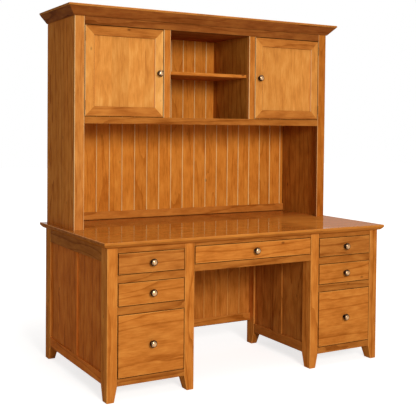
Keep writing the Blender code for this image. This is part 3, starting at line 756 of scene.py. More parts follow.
def mark_board(piece: Piece, axis: GrainAxis, narrow: float, wear_and_highlight: float) -> None:
    """Gives a board its place in the log and marks its rounded edges to be paled, by rubbing and as painted
    highlight.

    Args:
        piece: The board.
        axis: The way of its fibres.
        narrow: Faces narrower than this are edges.
        wear_and_highlight: How far the edges are paled, by rubbing and as painted highlight, from none at
            zero to bare at one.
    """
    mesh = piece.data
    chance = random.Random(piece.name)
    corners = [vertex.co for vertex in mesh.vertices]
    ends = [(min(c[i] for c in corners), max(c[i] for c in corners)) for i in range(3)]
    middle = Vector(tuple((start + end) / 2 for start, end in ends))
    across = [i for i in range(3) if i != axis.index]
    widths = [ends[i][1] - ends[i][0] for i in across]
    thin = across[widths.index(min(widths))]
    shift = Vector(tuple(chance.uniform(-LOG_RADIUS, LOG_RADIUS) for _ in range(3))) - middle
    # Its thickness lies in the middle of a row of staves, so that no glue line runs along its face
    shift[thin] = chance.choice((-0.5, 0.5)) * STAVE_WIDTH - middle[thin]
    shift[axis.index] = chance.uniform(-LOG_REACH, LOG_REACH)
    places = mesh.attributes.new(SHIFT_ATTRIBUTE, "FLOAT_VECTOR", "FACE")
    places.data.foreach_set("vector", list(shift) * len(mesh.polygons))
    glued = mesh.attributes.new(STAVE_ATTRIBUTE, "FLOAT", "FACE")
    glued.data.foreach_set("value", [float(max(widths) > WIDEST_STICK)] * len(mesh.polygons))
    edges = mesh.attributes.new(WORN_AND_HIGHLIT_ATTRIBUTE, "FLOAT", "FACE")
    lengths = {edge.key: (corners[edge.key[0]] - corners[edge.key[1]]).length for edge in mesh.edges}
    rubbed = [wear_and_highlight if min(lengths[key] for key in face.edge_keys) < narrow else 0.0 for face in mesh.polygons]
    edges.data.foreach_set("value", rubbed)


def mark_faces(piece: Piece, attribute: str, value: float, test: Callable[[Any], bool]) -> None:
    """Sets a face attribute where the faces pass a test.

    Args:
        piece: The piece.
        attribute: The attribute's name; it is made where the piece lacks it.
        value: What it is set to.
        test: Says whether a face is marked.
    """
    marks = piece.data.attributes.get(attribute)
    marks = marks or piece.data.attributes.new(attribute, "FLOAT", "FACE")
    for face in piece.data.polygons:
        if test(face):
            marks.data[face.index].value = value


def mark_gap_shade(piece: Piece, pooled: float, test: Callable[[Any], bool]) -> None:
    """Marks faces that lie in a gap with painted shade, and takes their pale edge off."""
    mark_faces(piece, WORN_AND_HIGHLIT_ATTRIBUTE, 0.0, test)
    mark_faces(piece, GAP_SHADE_ATTRIBUTE, pooled, test)


def join(name: str, members: Sequence[Piece]) -> Piece:
    """Joins pieces into one that keeps each member's own figure.

    Args:
        name: The joined piece's name.
        members: The pieces.

    Returns:
        The joined piece.
    """
    pick(*members)
    bpy.ops.object.join()
    return settle(name)


def hang(piece: Piece, material: Material, slot: str, *nodes: str, body: str = CARCASS) -> None:
    """Dresses a finished piece and hangs it on its CAD body.

    Args:
        piece: The piece.
        material: Its finish.
        slot: Not used.
        nodes: The CAD nodes that it stands for.
        body: The CAD body that it moves with.
    """
    piece.data.materials.append(material)
    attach(piece, body)
    if nodes:
        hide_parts(*nodes)
    LOG.info("%s rides on %s", piece.name, body)


@dataclass
class Board:
    """One sawn board with eased edges; its ends are eased too where they stand free.

    Its place is given as where it starts and ends along each axis.
    """

    name: str
    x: Span
    y: Span
    z: Span
    grain: GrainAxis
    ease: float = 0.002
    segments: int = 3
    free_ends: bool = False
    wear_and_highlight: float = 0.10
    pooled: float = 0.0
    cuts: Sequence[Cut] = ()

    def build(self) -> Piece:
        """Models the board.

        Returns:
            The piece.
        """
        piece = start_block(self.name, self.x, self.y, self.z)
        if self.cuts:
            with Shaping(piece) as shaping:
                for point, normal in self.cuts:
                    shaping.cut(point, normal, clear=True)

        def exposed(edge: bmesh.types.BMEdge) -> bool:
            """Says whether an edge is eased."""
            way = (edge.verts[1].co - edge.verts[0].co).normalized()
            return self.free_ends or abs(way[self.grain.index]) > ALONG

        ease_edges(piece, self.ease, self.segments, exposed)
        smooth(piece)
        mark_board(piece, self.grain, self.ease * FACET, self.wear_and_highlight)
        # Painted shade on the faces that look sideways, up and down, into the gaps round the board
        mark_faces(piece, GAP_SHADE_ATTRIBUTE, self.pooled, lambda face: abs(face.normal.y) < ASIDE)
        return piece

    def fit(self, wood: LacqueredWood, slot: str, *nodes: str, body: str = CARCASS) -> None:
        """Models the board, dresses it along its grain and hangs it on its CAD body."""
        hang(self.build(), wood.dress(self.grain), slot, *nodes, body=body)


def turn_rings(name: str, base: Vector, way: Vector, rings: Sequence[Span], sides: int) -> Piece:
    """Turns a round piece by drawing a disc out through rings and closing it at the tip.

    Args:
        name: The piece's name.
        base: The middle of its foot.
        way: The direction it grows in, along one axis.
        rings: Each ring's radius and its distance from the foot; the first is the foot.
        sides: How many sides a ring has.

    Returns:
        The piece.
    """
    bpy.ops.object.select_all(action="DESELECT")
    turn = Vector((0.0, 0.0, 1.0)).rotation_difference(way).to_euler()
    bpy.ops.mesh.primitive_circle_add(
        vertices=sides, radius=rings[0][0], fill_type="NGON", location=base, rotation=turn
    )
    piece = settle(name)
    with Shaping(piece) as shaping:
        shaping.choose("FACE", lambda face: True)
        for (radius, along), (next_radius, next_along) in zip(rings, rings[1:]):
            shaping.push(way * (next_along - along))
            ratio = next_radius / radius
            grown = Vector(tuple(1.0 if abs(part) > ASIDE else ratio for part in way))
            bpy.ops.transform.resize(value=grown, center_override=base + way * next_along)
        bpy.ops.mesh.merge(type="COLLAPSE")
        bpy.ops.mesh.select_all(action="SELECT")
        bpy.ops.mesh.normals_make_consistent(inside=False)
    pick(piece)
    bpy.ops.object.shade_smooth_by_angle(angle=SMOOTH_ANGLE)
    return piece


@dataclass
class DeskTop:
    """The writing surface: a slab with an upright lip over a full, undercut curve."""

    node: str = "desk_top"
    lip_height: float = 0.012
    undercut_depth: float = 0.017
    undercut_curve: float = 1.4
    steps: int = 8
    rounding: float = 0.003
    segments: int = 4
    facet: float = 0.6
    rim: float = 0.0003
    rim_wear_and_highlight: float = 0.6
    lip_wear_and_highlight: float = 0.50
    bead: float = 0.55
    bead_highlight: float = 0.20
    quirk: float = 0.003
    pooled: float = 0.45
    edge_slope: float = 0.05
    edge_polish: float = 0.35

    def build(self) -> None:
        """Models and dresses the top."""
        low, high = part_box(self.node)
        quirk = high.z - self.lip_height
        piece = start_block("moulded_desk_top", (low.x, high.x), (low.y, high.y), (quirk, high.z))
        middle = (low + high) / 2
        half = (high - low) / 2
        undercut_height = high.z - low.z - self.lip_height
        with Shaping(piece) as shaping:
            shaping.choose("FACE", lambda face: face.normal.z < -FACING)
            inset, drop = 0.0, 0.0
            for step in range(1, self.steps + 1):
                share = step / self.steps
                next_inset = self.undercut_depth * share
                next_drop = undercut_height * (1.0 - (1.0 - share) ** self.undercut_curve)
                shaping.push(Vector((0.0, 0.0, drop - next_drop)))
                ratio_x = (half.x - next_inset) / (half.x - inset)
                ratio_y = (half.y - next_inset) / (half.y - inset)
                bpy.ops.transform.resize(value=(ratio_x, ratio_y, 1.0), center_override=middle)
                inset, drop = next_inset, next_drop
        rim = high.z - self.rim
        ease_edges(piece, self.rounding, self.segments, lambda edge: all(v.co.z > rim for v in edge.verts))
        smooth(piece)
        # The rounding along the top edge is paled, by rubbing and as painted highlight
        mark_board(piece, GrainAxis.X, self.rounding * self.facet, self.rim_wear_and_highlight)
        bead = quirk - undercut_height * self.bead
        shaded_band_low = quirk - self.quirk
        # The lip's lit front face and the band above the bead are paled, partly by rubbing and partly as
        # painted highlight; the quirk under the lip takes painted shade
        mark_faces(piece, WORN_AND_HIGHLIT_ATTRIBUTE, self.lip_wear_and_highlight, lambda face: face.normal.y < -FLAT)
        mark_faces(piece, WORN_AND_HIGHLIT_ATTRIBUTE, self.bead_highlight, lambda face: bead < face.center.z < quirk)
        mark_faces(piece, GAP_SHADE_ATTRIBUTE, self.pooled, lambda face: shaded_band_low < face.center.z < quirk)
        mark_faces(
            piece, POLISH_ATTRIBUTE, self.edge_polish, lambda face: self.edge_slope < face.normal.z < FLAT
        )
        mark_faces(piece, POLISH_ATTRIBUTE, 1.0, lambda face: face.normal.z > FLAT)
        hang(piece, GLOSS_ALDER.dress(GrainAxis.X), "desk_top", self.node)


@dataclass
class Leg:
    """A square post whose foot tapers on the two faces that look into the pedestal."""

    node: str
    foot_height: float = 0.074
    foot_width: float = 0.038
    foot_depth: float = 0.050
    ease: float = 0.0025
    segments: int = 3
    corner_angle: float = math.radians(30.0)
    wear_and_highlight: float = 0.5

    def build(self) -> None:
        """Models and dresses the leg."""
        x, y, z = spans(self.node)
        away = 1.0 if "knee" in self.node else -1.0
        inward_x = away * math.copysign(1.0, sum(x))
        inward_y = 1.0 if "front" in self.node else -1.0
        middle_x, middle_y = sum(x) / 2, sum(y) / 2
        taper_x = -inward_x * (x[1] - x[0] - self.foot_width)
        taper_y = -inward_y * (y[1] - y[0] - self.foot_depth)
        piece = start_block(self.node.replace("_leg", "_post"), x, y, z)
        with Shaping(piece) as shaping:
            shaping.level_cut(z[0] + self.foot_height)
            floor = z[0] + self.foot_height / 2
            shaping.choose("VERT", lambda v: v.co.z < floor and (v.co.x - middle_x) * inward_x > 0)
            bpy.ops.transform.translate(value=(taper_x, 0.0, 0.0))
            shaping.choose("VERT", lambda v: v.co.z < floor and (v.co.y - middle_y) * inward_y > 0)
            bpy.ops.transform.translate(value=(0.0, taper_y, 0.0))
        ease_edges(
            piece, self.ease, self.segments, lambda edge: edge.calc_face_angle(0.0) > self.corner_angle
        )
        smooth(piece)
        mark_board(piece, GrainAxis.Z, self.ease * FACET, self.wear_and_highlight)
        hang(piece, SATIN_ALDER.dress(GrainAxis.Z), "leg", self.node)


@dataclass
class FramedSide:
    """A framed side between two legs: two rails and a middle stile round two sunk panels."""

    node: str
    top_rail: float = 0.072
    bottom_rail: float = 0.052
    stile: float = 0.080
    recess: float = 0.008

    def build(self) -> None:
        """Models and dresses the frame and its panels."""
        x, y, z = spans(self.node)
        is_end = "end" in self.node
        side = math.copysign(1.0, sum(x))
        faces_out = side if is_end else -side
        # Painted shade: the end panels take the redder copy, and the knee panels in the knee hole the browner
        # one
        wood = RUSSET_ALDER if is_end else RAIL_ALDER
        between = (z[0] + self.bottom_rail, z[1] - self.top_rail)
        # All top rails take the browner copy: painted shade under the desk top's overhang
        rails = {
            "top": ((between[1] + JOINT_LINE, z[1]), RAIL_ALDER),
            "bottom": ((z[0], between[0] - JOINT_LINE), wood),
        }
        for word, (height, rail_wood) in rails.items():
            rail = Board(f"{self.node}_{word}_rail", x, y, height, GrainAxis.Y)
            rail.fit(rail_wood, "side_panel", self.node)
        middle = sum(y) / 2
        stile = (middle - self.stile / 2, middle + self.stile / 2)
        depth = (stile[0] + JOINT_LINE, stile[1] - JOINT_LINE)
        upright = Board(f"{self.node}_middle_stile", x, depth, between, GrainAxis.Z)
        upright.fit(wood, "side_panel", self.node)
        sunk = (x[0], x[1] - self.recess) if faces_out > 0 else (x[0] + self.recess, x[1])
        panels = {"front": (y[0], stile[0]), "rear": (stile[1], y[1])}
        for word, depth in panels.items():
            panel = Board(
                f"{self.node}_{word}_panel", sunk, depth, between, GrainAxis.Z, ease=HIDDEN_EASE, wear_and_highlight=0.0
            )
            panel.fit(wood, "side_panel", self.node)


@dataclass
class DrawerFrame:
    """Front rails between the drawers, with birch runners and cleats behind them."""

    node: str
    drawers: tuple[str, ...]
    rail_thickness: float = 0.022
    rail_ease: float = 0.0015
    rail_wear: float = 0.05
    # Painted shade in the gaps round the rails
    pooled: float = 0.8
    runner_width: float = 0.030
    runner_height: float = 0.016
    cleat: float = 0.020

    def rail_heights(self) -> list[Span]:
        """Finds the spaces that the drawer fronts leave.

        Returns:
            The low and high edge of each rail, from the top down.
        """
        low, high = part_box(self.node)
        edges = [high.z]
        for drawer in self.drawers:
            front_low, front_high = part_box(f"{drawer}_front")
            edges += [front_high.z + OPENING_GAP, front_low.z - OPENING_GAP]
        edges.append(low.z)
        return [(edges[i + 1], edges[i]) for i in range(0, len(edges), 2)]

    def build(self) -> None:
        """Models and dresses the rails and what lies behind them."""
        x, y, z = spans(self.node)
        back = y[0] + self.rail_thickness
        heights = self.rail_heights()
        for number, height in enumerate(heights, start=1):
            rail = Board(
                f"{self.node}_rail_{number}", x, (y[0], back), height, GrainAxis.X,
                ease=self.rail_ease, wear_and_highlight=self.rail_wear, pooled=self.pooled,
            )
            rail.fit(RAIL_ALDER, "rail", self.node)
        strips = ((x[0], x[0] + self.runner_width), (x[1] - self.runner_width, x[1]))
        rear = (y[1] - self.cleat, y[1])
        between = (back + JOINT_LINE, rear[0] - JOINT_LINE)
        runners, cleats = [], []
        for word, strip in zip(SIDES, strips):
            for number, (bottom, top) in enumerate(heights, start=1):
                name = f"{self.node}_{word}_runner_{number}"
                height = (max(bottom, top - self.runner_height), top)
                runners.append(Board(name, strip, between, height, GrainAxis.Y, ease=HIDDEN_EASE).build())
            name = f"{self.node}_{word}_cleat"
            cleats.append(Board(name, strip, rear, z, GrainAxis.Z, ease=HIDDEN_EASE).build())
        hang(join(f"{self.node}_runners", runners), SEALED_BIRCH.dress(GrainAxis.Y), "drawer_box")
        hang(join(f"{self.node}_cleats", cleats), SEALED_BIRCH.dress(GrainAxis.Z), "drawer_box")
        inner = (strips[0][1] + JOINT_LINE, strips[1][0] - JOINT_LINE)
        cross = Board(f"{self.node}_cross_rail", inner, rear, heights[-1], GrainAxis.X, ease=HIDDEN_EASE)
        cross.fit(SEALED_BIRCH, "drawer_box")


@dataclass
class Knob:
    """A turned knob: a domed ball on a neck with a small flange.

    The dome, neck, tip and flange are shares of the ball's radius. The rings of the flange and of the fillet
    above it are given as shares of the flange's or the neck's radius, and of the flange's length.
    """

    node: str
    body: str
    dome: float = 0.70
    neck: float = 0.36
    neck_end: float = 0.08
    tip: float = 0.02
    flange: float = 0.56
    flange_length: float = 0.003
    flange_rings: tuple[Span, ...] = ((0.94, 0.0), (1.0, 0.2), (1.0, 0.8), (0.92, 1.0))
    fillet_rings: tuple[Span, ...] = ((1.25, 1.25), (1.0, 1.7))
    undercut: float = math.radians(-52.0)
    dome_steps: int = 14
    rim_shade_falloff: float = 3.0
    sides: int = 40

    def build(self) -> None:
        """Models and dresses the knob."""
        x, y, z = spans(self.node)
        radius = (x[1] - x[0]) / 2
        reach = y[1] - y[0]
        waist = reach - radius * self.dome
        neck = radius * self.neck
        flange = radius * self.flange
        rings = [(flange * wide, self.flange_length * along) for wide, along in self.flange_rings]
        rings += [(neck * wide, self.flange_length * along) for wide, along in self.fillet_rings]
        ball = []
        for step in range(self.dome_steps):
            angle = self.undercut + (math.radians(90.0) - self.undercut) * step / self.dome_steps
            ball.append((radius * math.cos(angle), waist + radius * self.dome * math.sin(angle)))
        rings.append((neck, ball[0][1] - radius * self.neck_end))
        rings += ball
        rings.append((radius * self.tip, reach))
        base = Vector((sum(x) / 2, y[1], sum(z) / 2))
        piece = turn_rings(f"{self.node}_turned", base, Vector((0.0, -1.0, 0.0)), rings, self.sides)
        # One on the dome's top, falling to nothing at the rim: rubbed metal and patina, partly painted shade
        # at the rim
        heights = [(base.y - waist - vertex.co.y) / (radius * self.dome) for vertex in piece.data.vertices]
        touched = piece.data.attributes.new(DOME_AND_RIM_ATTRIBUTE, "FLOAT", "POINT")
        touched.data.foreach_set("value", [max(0.0, height) ** self.rim_shade_falloff for height in heights])
        hang(piece, AGED_BRONZE.dress(), "knob", self.node, body=self.body)


@dataclass
class Drawer:
    """A drawer: a slab front, a finger-jointed box with a let-in bottom, and a knob."""

    name: str
    wear_and_highlight: float = 0.6
    pooled: float = 0.9
    wall: float = 0.012
    bottom: float = 0.009
    bottom_lift: float = 0.003
    bottom_ease: float = 0.0005
    finger: float = 0.014
    least_fingers: int = 3

    def build(self) -> None:
        """Models and dresses the drawer."""
        node = f"{self.name}_front"
        front = Board(
            f"{self.name}_slab", *spans(node), GrainAxis.X,
            free_ends=True, wear_and_highlight=self.wear_and_highlight, pooled=self.pooled,
        )
        slab = front.build()
        # Painted shade on the slab's ends, in the gaps beside it, where the pale edge is taken off; its top
        # edge keeps a painted highlight
        mark_gap_shade(slab, self.pooled, lambda face: abs(face.normal.x) > LEANING)
        # The upper drawers take the browner door copy: painted shade under the desk top
        wood = DOOR_ALDER if "upper" in self.name else SATIN_ALDER
        hang(slab, wood.dress(GrainAxis.X), "drawer_front", node, body=self.name)
        self.build_box()
        Knob(f"{self.name}_knob", self.name).build()

    def build_box(self) -> None:
        """Models and dresses the box: two sides, two ends and a bottom."""
        node = f"{self.name}_box"
        low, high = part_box(node)
        inner_low = low + Vector((self.wall, self.wall, self.bottom))
        inner_high = high - Vector((self.wall, self.wall, 0.0))
        x = (inner_low.x, inner_high.x)
        y = (inner_low.y, inner_high.y)
        walls = {
            "left_side": ((low.x, x[0]), y, GrainAxis.Y),
            "right_side": ((x[1], high.x), y, GrainAxis.Y),
            "front_end": (x, (low.y, y[0]), GrainAxis.X),
            "back_end": (x, (y[1], high.y), GrainAxis.X),
        }
        for word, (across, depth, grain) in walls.items():
            piece = self.fingered(f"{self.name}_{word}", across, depth, (low.z, high.z), grain)
            hang(piece, SEALED_BIRCH.dress(grain), "drawer_box", node, body=self.name)
        start = Vector((x[0], y[0], low.z)) + Vector((JOINT_LINE, JOINT_LINE, self.bottom_lift))
        floor = Board(
            f"{self.name}_bottom", (start.x, x[1] - JOINT_LINE), (start.y, y[1] - JOINT_LINE),
            (start.z, inner_low.z), GrainAxis.X,
            ease=self.bottom_ease, wear_and_highlight=0.0,
        )
        floor.fit(SEALED_BIRCH, "drawer_box", node, body=self.name)

    def fingered(self, name: str, x: Span, y: Span, z: Span, grain: GrainAxis) -> Piece:
        """Models a box wall whose ends are cut to fingers, every other one drawn out along the grain.

        Args:
            name: The piece's name.
            x: Where the wall starts and ends from left to right, without fingers.
            y: The same from front to back.
            z: The same from the floor up.
            grain: The way of its fibres; the sides have the lowest finger, and the ends the next.

        Returns:
            The piece.
        """
        piece = start_block(name, x, y, z)
        height = z[1] - z[0]
        count = max(self.least_fingers, 2 * round(height / self.finger / 2) + 1)
        pitch = height / count
        parity = 0 if grain is GrainAxis.Y else 1
        reach = Vector()
        reach[grain.index] = self.wall
        with Shaping(piece) as shaping:
            for number in range(1, count):
                shaping.level_cut(z[0] + pitch * number)
            for direction in (1.0, -1.0):

                def finger_end(face: bmesh.types.BMFace) -> bool:
                    """Says whether a face is the end of a finger that is drawn out."""
                    row = int((face.calc_center_median().z - z[0]) / pitch)
                    return face.normal[grain.index] * direction > FACING and row % 2 == parity

                shaping.choose("FACE", finger_end)
                shaping.push(reach * direction)
        mark_board(piece, grain, 0.0, 0.0)
        return piece


@dataclass
class Beadboard:
    """Upright boards with bevelled edges side by side, with a plain rail along the foot.

    The narrowest board that may stand at an end is a share of the pitch.
    """

    node: str
    pitch: float = 0.080
    narrowest: float = 0.05
    bevel: float = 0.0034
    facet: float = 1.6
    edge_reach: float = 0.00085
    pooled: float = 0.3
    rail_height: float = 0.046
    rail_proud: float = 0.007
    rail_ease: float = 0.004
    rail_pooled: float = 0.9
    wear_and_highlight: float = 1.0
    faces_back: bool = False
    has_rail: bool = True

    def build(self) -> None:
        """Models and dresses the boards and the rail."""
        x, y, z = spans(self.node)
        face = y[0] + (self.rail_proud if self.has_rail else 0.0)
        shown = y[1] if self.faces_back else face

        def long_edge(edge: bmesh.types.BMEdge) -> bool:
            """Says whether an edge runs up a board's shown face."""
            upright = abs(edge.verts[0].co.z - edge.verts[1].co.z) > self.edge_reach
            return upright and all(abs(v.co.y - shown) < self.edge_reach for v in edge.verts)

        edges = self.board_edges(*x)
        boards = []
        for number, width in enumerate(zip(edges, edges[1:]), start=1):
            piece = start_block(f"{self.node}_board_{number:02d}", width, (face, y[1]), z)
            ease_edges(piece, self.bevel, 1, long_edge)
            mark_board(piece, GrainAxis.Z, self.bevel * self.facet, self.wear_and_highlight)
            # Painted shade on the chamfer turned away from the lamps; the other keeps its pale edge as a
            # painted highlight
            mark_gap_shade(piece, self.pooled, lambda side: LEANING < side.normal.x < FACING)
            boards.append(piece)
        slot = "beadboard" if self.has_rail else "side_panel"
        wood = BOARD_ALDER if self.node == "hutch_back" else PLAIN_ALDER
        hang(join(f"{self.node}_boards", boards), wood.dress(GrainAxis.Z), slot, self.node)
        if self.has_rail:
            rail = Board(
                f"{self.node}_foot_rail", x, (y[0], face - JOINT_LINE), (z[0], z[0] + self.rail_height),
                GrainAxis.X,
                ease=self.rail_ease,
            ).build()
            # Painted shade along the rail's underside
            mark_faces(rail, GAP_SHADE_ATTRIBUTE, self.rail_pooled, lambda side: side.normal.z < -LEANING)
            hang(rail, SATIN_ALDER.dress(GrainAxis.X), slot, self.node)

    def board_edges(self, low: float, high: float) -> list[float]:
        """Spaces the boards evenly about the middle, with what is left over at both ends.

        Args:
            low: Where the panel starts.
            high: Where it ends.

        Returns:
            The edges, from low to high.
        """
        middle = (low + high) / 2
        pairs = int((high - middle) / self.pitch + 0.5 - self.narrowest)
        inner = [middle + self.pitch * (number + 0.5) for number in range(-pairs, pairs)]
        return [low] + inner + [high]


@dataclass
class HutchCase:
    """The hutch's case: sides, face frame, floor, ceiling, partitions and shelf."""

    stile: float = 0.055
    mullion: float = 0.041
    door_rail: float = 0.036
    upright_ease: float = 0.003
    upright_wear_and_highlight: float = 1.0
    right_wear_and_highlight: float = 0.5
    right_gap_shade: float = 0.7
    pooled: float = 0.9

    def build(self) -> None:
        """Models and dresses the case."""
        # Painted light and shade: the left side, in its own shadow, takes a lighter amber copy; the right
        # side and the partitions take the shaded copy, and the floor and ceiling the darkest
        plain = {
            "hutch_left_side": (GrainAxis.Z, AMBER_ALDER),
            "hutch_right_side": (GrainAxis.Z, SHADE_ALDER),
            "hutch_floor": (GrainAxis.X, HEART_ALDER),
            "hutch_ceiling": (GrainAxis.X, HEART_ALDER),
            "cubby_left_partition": (GrainAxis.Z, SHADE_ALDER),
            "cubby_right_partition": (GrainAxis.Z, SHADE_ALDER),
            "cubby_shelf": (GrainAxis.X, SATIN_ALDER),
        }
        for node, (grain, wood) in plain.items():
            Board(f"{node}_board", *spans(node), grain).fit(wood, "hutch", node)
        self.build_face_frame()

    def build_face_frame(self) -> None:
        """Models and dresses the stiles, rails and mullions round the doors and the cubby."""
        node = "hutch_face_frame"
        x, y, z = spans(node)
        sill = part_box("hutch_floor")[1].z
        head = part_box("hutch_ceiling")[0].z
        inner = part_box("cubby_right_partition")[0].x
        clear = (x[0] + self.stile, x[1] - self.stile)
        between = (sill + JOINT_LINE, head - JOINT_LINE)
        # Painted shade: the top rail under the crown takes the darkest copy, and the rail under the doors the
        # browner one
        members = {
            "left_stile": ((x[0], clear[0] - JOINT_LINE), z, GrainAxis.Z, LEFT_ALDER),
            "right_stile": ((clear[1] + JOINT_LINE, x[1]), z, GrainAxis.Z, RIGHT_ALDER),
            "top_rail": (clear, (head, z[1]), GrainAxis.X, HEART_ALDER),
            "door_rail": (clear, (sill - self.door_rail, sill), GrainAxis.X, RAIL_ALDER),
            "left_mullion": ((-inner - self.mullion, -inner), between, GrainAxis.Z, FRAME_ALDER),
            "right_mullion": ((inner, inner + self.mullion), between, GrainAxis.Z, FRAME_ALDER),
        }
        for word, (across, height, grain, wood) in members.items():
            board = Board(f"{node}_{word}", across, y, height, grain)
            # The uprights' edges are paled, by rubbing and as painted highlight; the right stile's less
            if grain is GrainAxis.Z:
                board.ease = self.upright_ease
                board.wear_and_highlight = self.right_wear_and_highlight if word == "right_stile" else self.upright_wear_and_highlight
            piece = board.build()
            # Painted shade on the mullions' faces beside the doors, on the right stile's face beside the
            # right door and on the top rail's underside
            if word.endswith("mullion"):
                outward = math.copysign(1.0, across[0])
                mark_faces(piece, GAP_SHADE_ATTRIBUTE, self.pooled, lambda face: face.normal.x * outward > FACING)
            if word == "right_stile":
                mark_faces(piece, GAP_SHADE_ATTRIBUTE, self.right_gap_shade, lambda face: face.normal.x < -FACING)
            if word == "top_rail":
                mark_faces(piece, GAP_SHADE_ATTRIBUTE, self.pooled, lambda face: face.normal.z < -LEANING)
            hang(piece, wood.dress(grain), "hutch", node)


@dataclass
class Crown:
    """A thin lid over a sloped moulding that is mitred round the front corners."""

    node: str = "hutch_crown"
    lip: float = 0.011
    step: float = 0.003
    foot: float = 0.005
    ease: float = 0.003
    side_ease: float = 0.001
    lid_wear_and_highlight: float = 0.5
    pooled: float = 0.8

    def build(self) -> None:
        """Models and dresses the lid and the three lengths of moulding."""
        x, y, z = spans(self.node)
        case_x, case_y, _ = spans("hutch_face_frame")
        # The lid's edges are paled, by rubbing and as a painted highlight along its top
        lid = Board(
            "crown_lid", x, y, (z[1] - self.lip, z[1]), GrainAxis.X,
            ease=self.ease, free_ends=True, wear_and_highlight=self.lid_wear_and_highlight,
        )
        lid.fit(RAIL_ALDER, "crown", self.node)
        reach = case_y[0] - y[0] - self.step
        height = (z[0], z[1] - self.lip - JOINT_LINE)
        slope = (reach - self.foot) / (height[1] - height[0])
        foot_y = case_y[0] - self.foot
        corner_y = case_y[0] - JOINT_LINE
        corner_x = case_x[1] + JOINT_LINE
        front_slope = (Vector((0.0, foot_y, z[0])), Vector((0.0, -1.0, -slope)))
        mitres = [
            (Vector((side * corner_x, corner_y, 0.0)), Vector((side, 1.0, 0.0))) for side in (-1.0, 1.0)
        ]
        # Painted shade along the moulding's foot
        front = Board(
            "crown_front_moulding", x, (y[0] + self.step, corner_y), height, GrainAxis.X,
            ease=self.ease, pooled=self.pooled, cuts=[front_slope] + mitres,
        )
        front.fit(HEART_ALDER, "crown", self.node)
        for word, side in zip(SIDES, (-1.0, 1.0)):
            near, far = sorted((side * corner_x, side * (x[1] - self.step)))
            foot_x = side * (case_x[1] + self.foot)
            side_slope = (Vector((foot_x, 0.0, z[0])), Vector((side, 0.0, -slope)))
            mitre = (Vector((side * corner_x, corner_y, 0.0)), Vector((-side, -1.0, 0.0)))
            moulding = Board(
                f"crown_{word}_moulding", (near, far), y, height, GrainAxis.Y,
                ease=self.side_ease, cuts=[side_slope, mitre],
            )
            moulding.fit(HEART_ALDER, "crown", self.node)


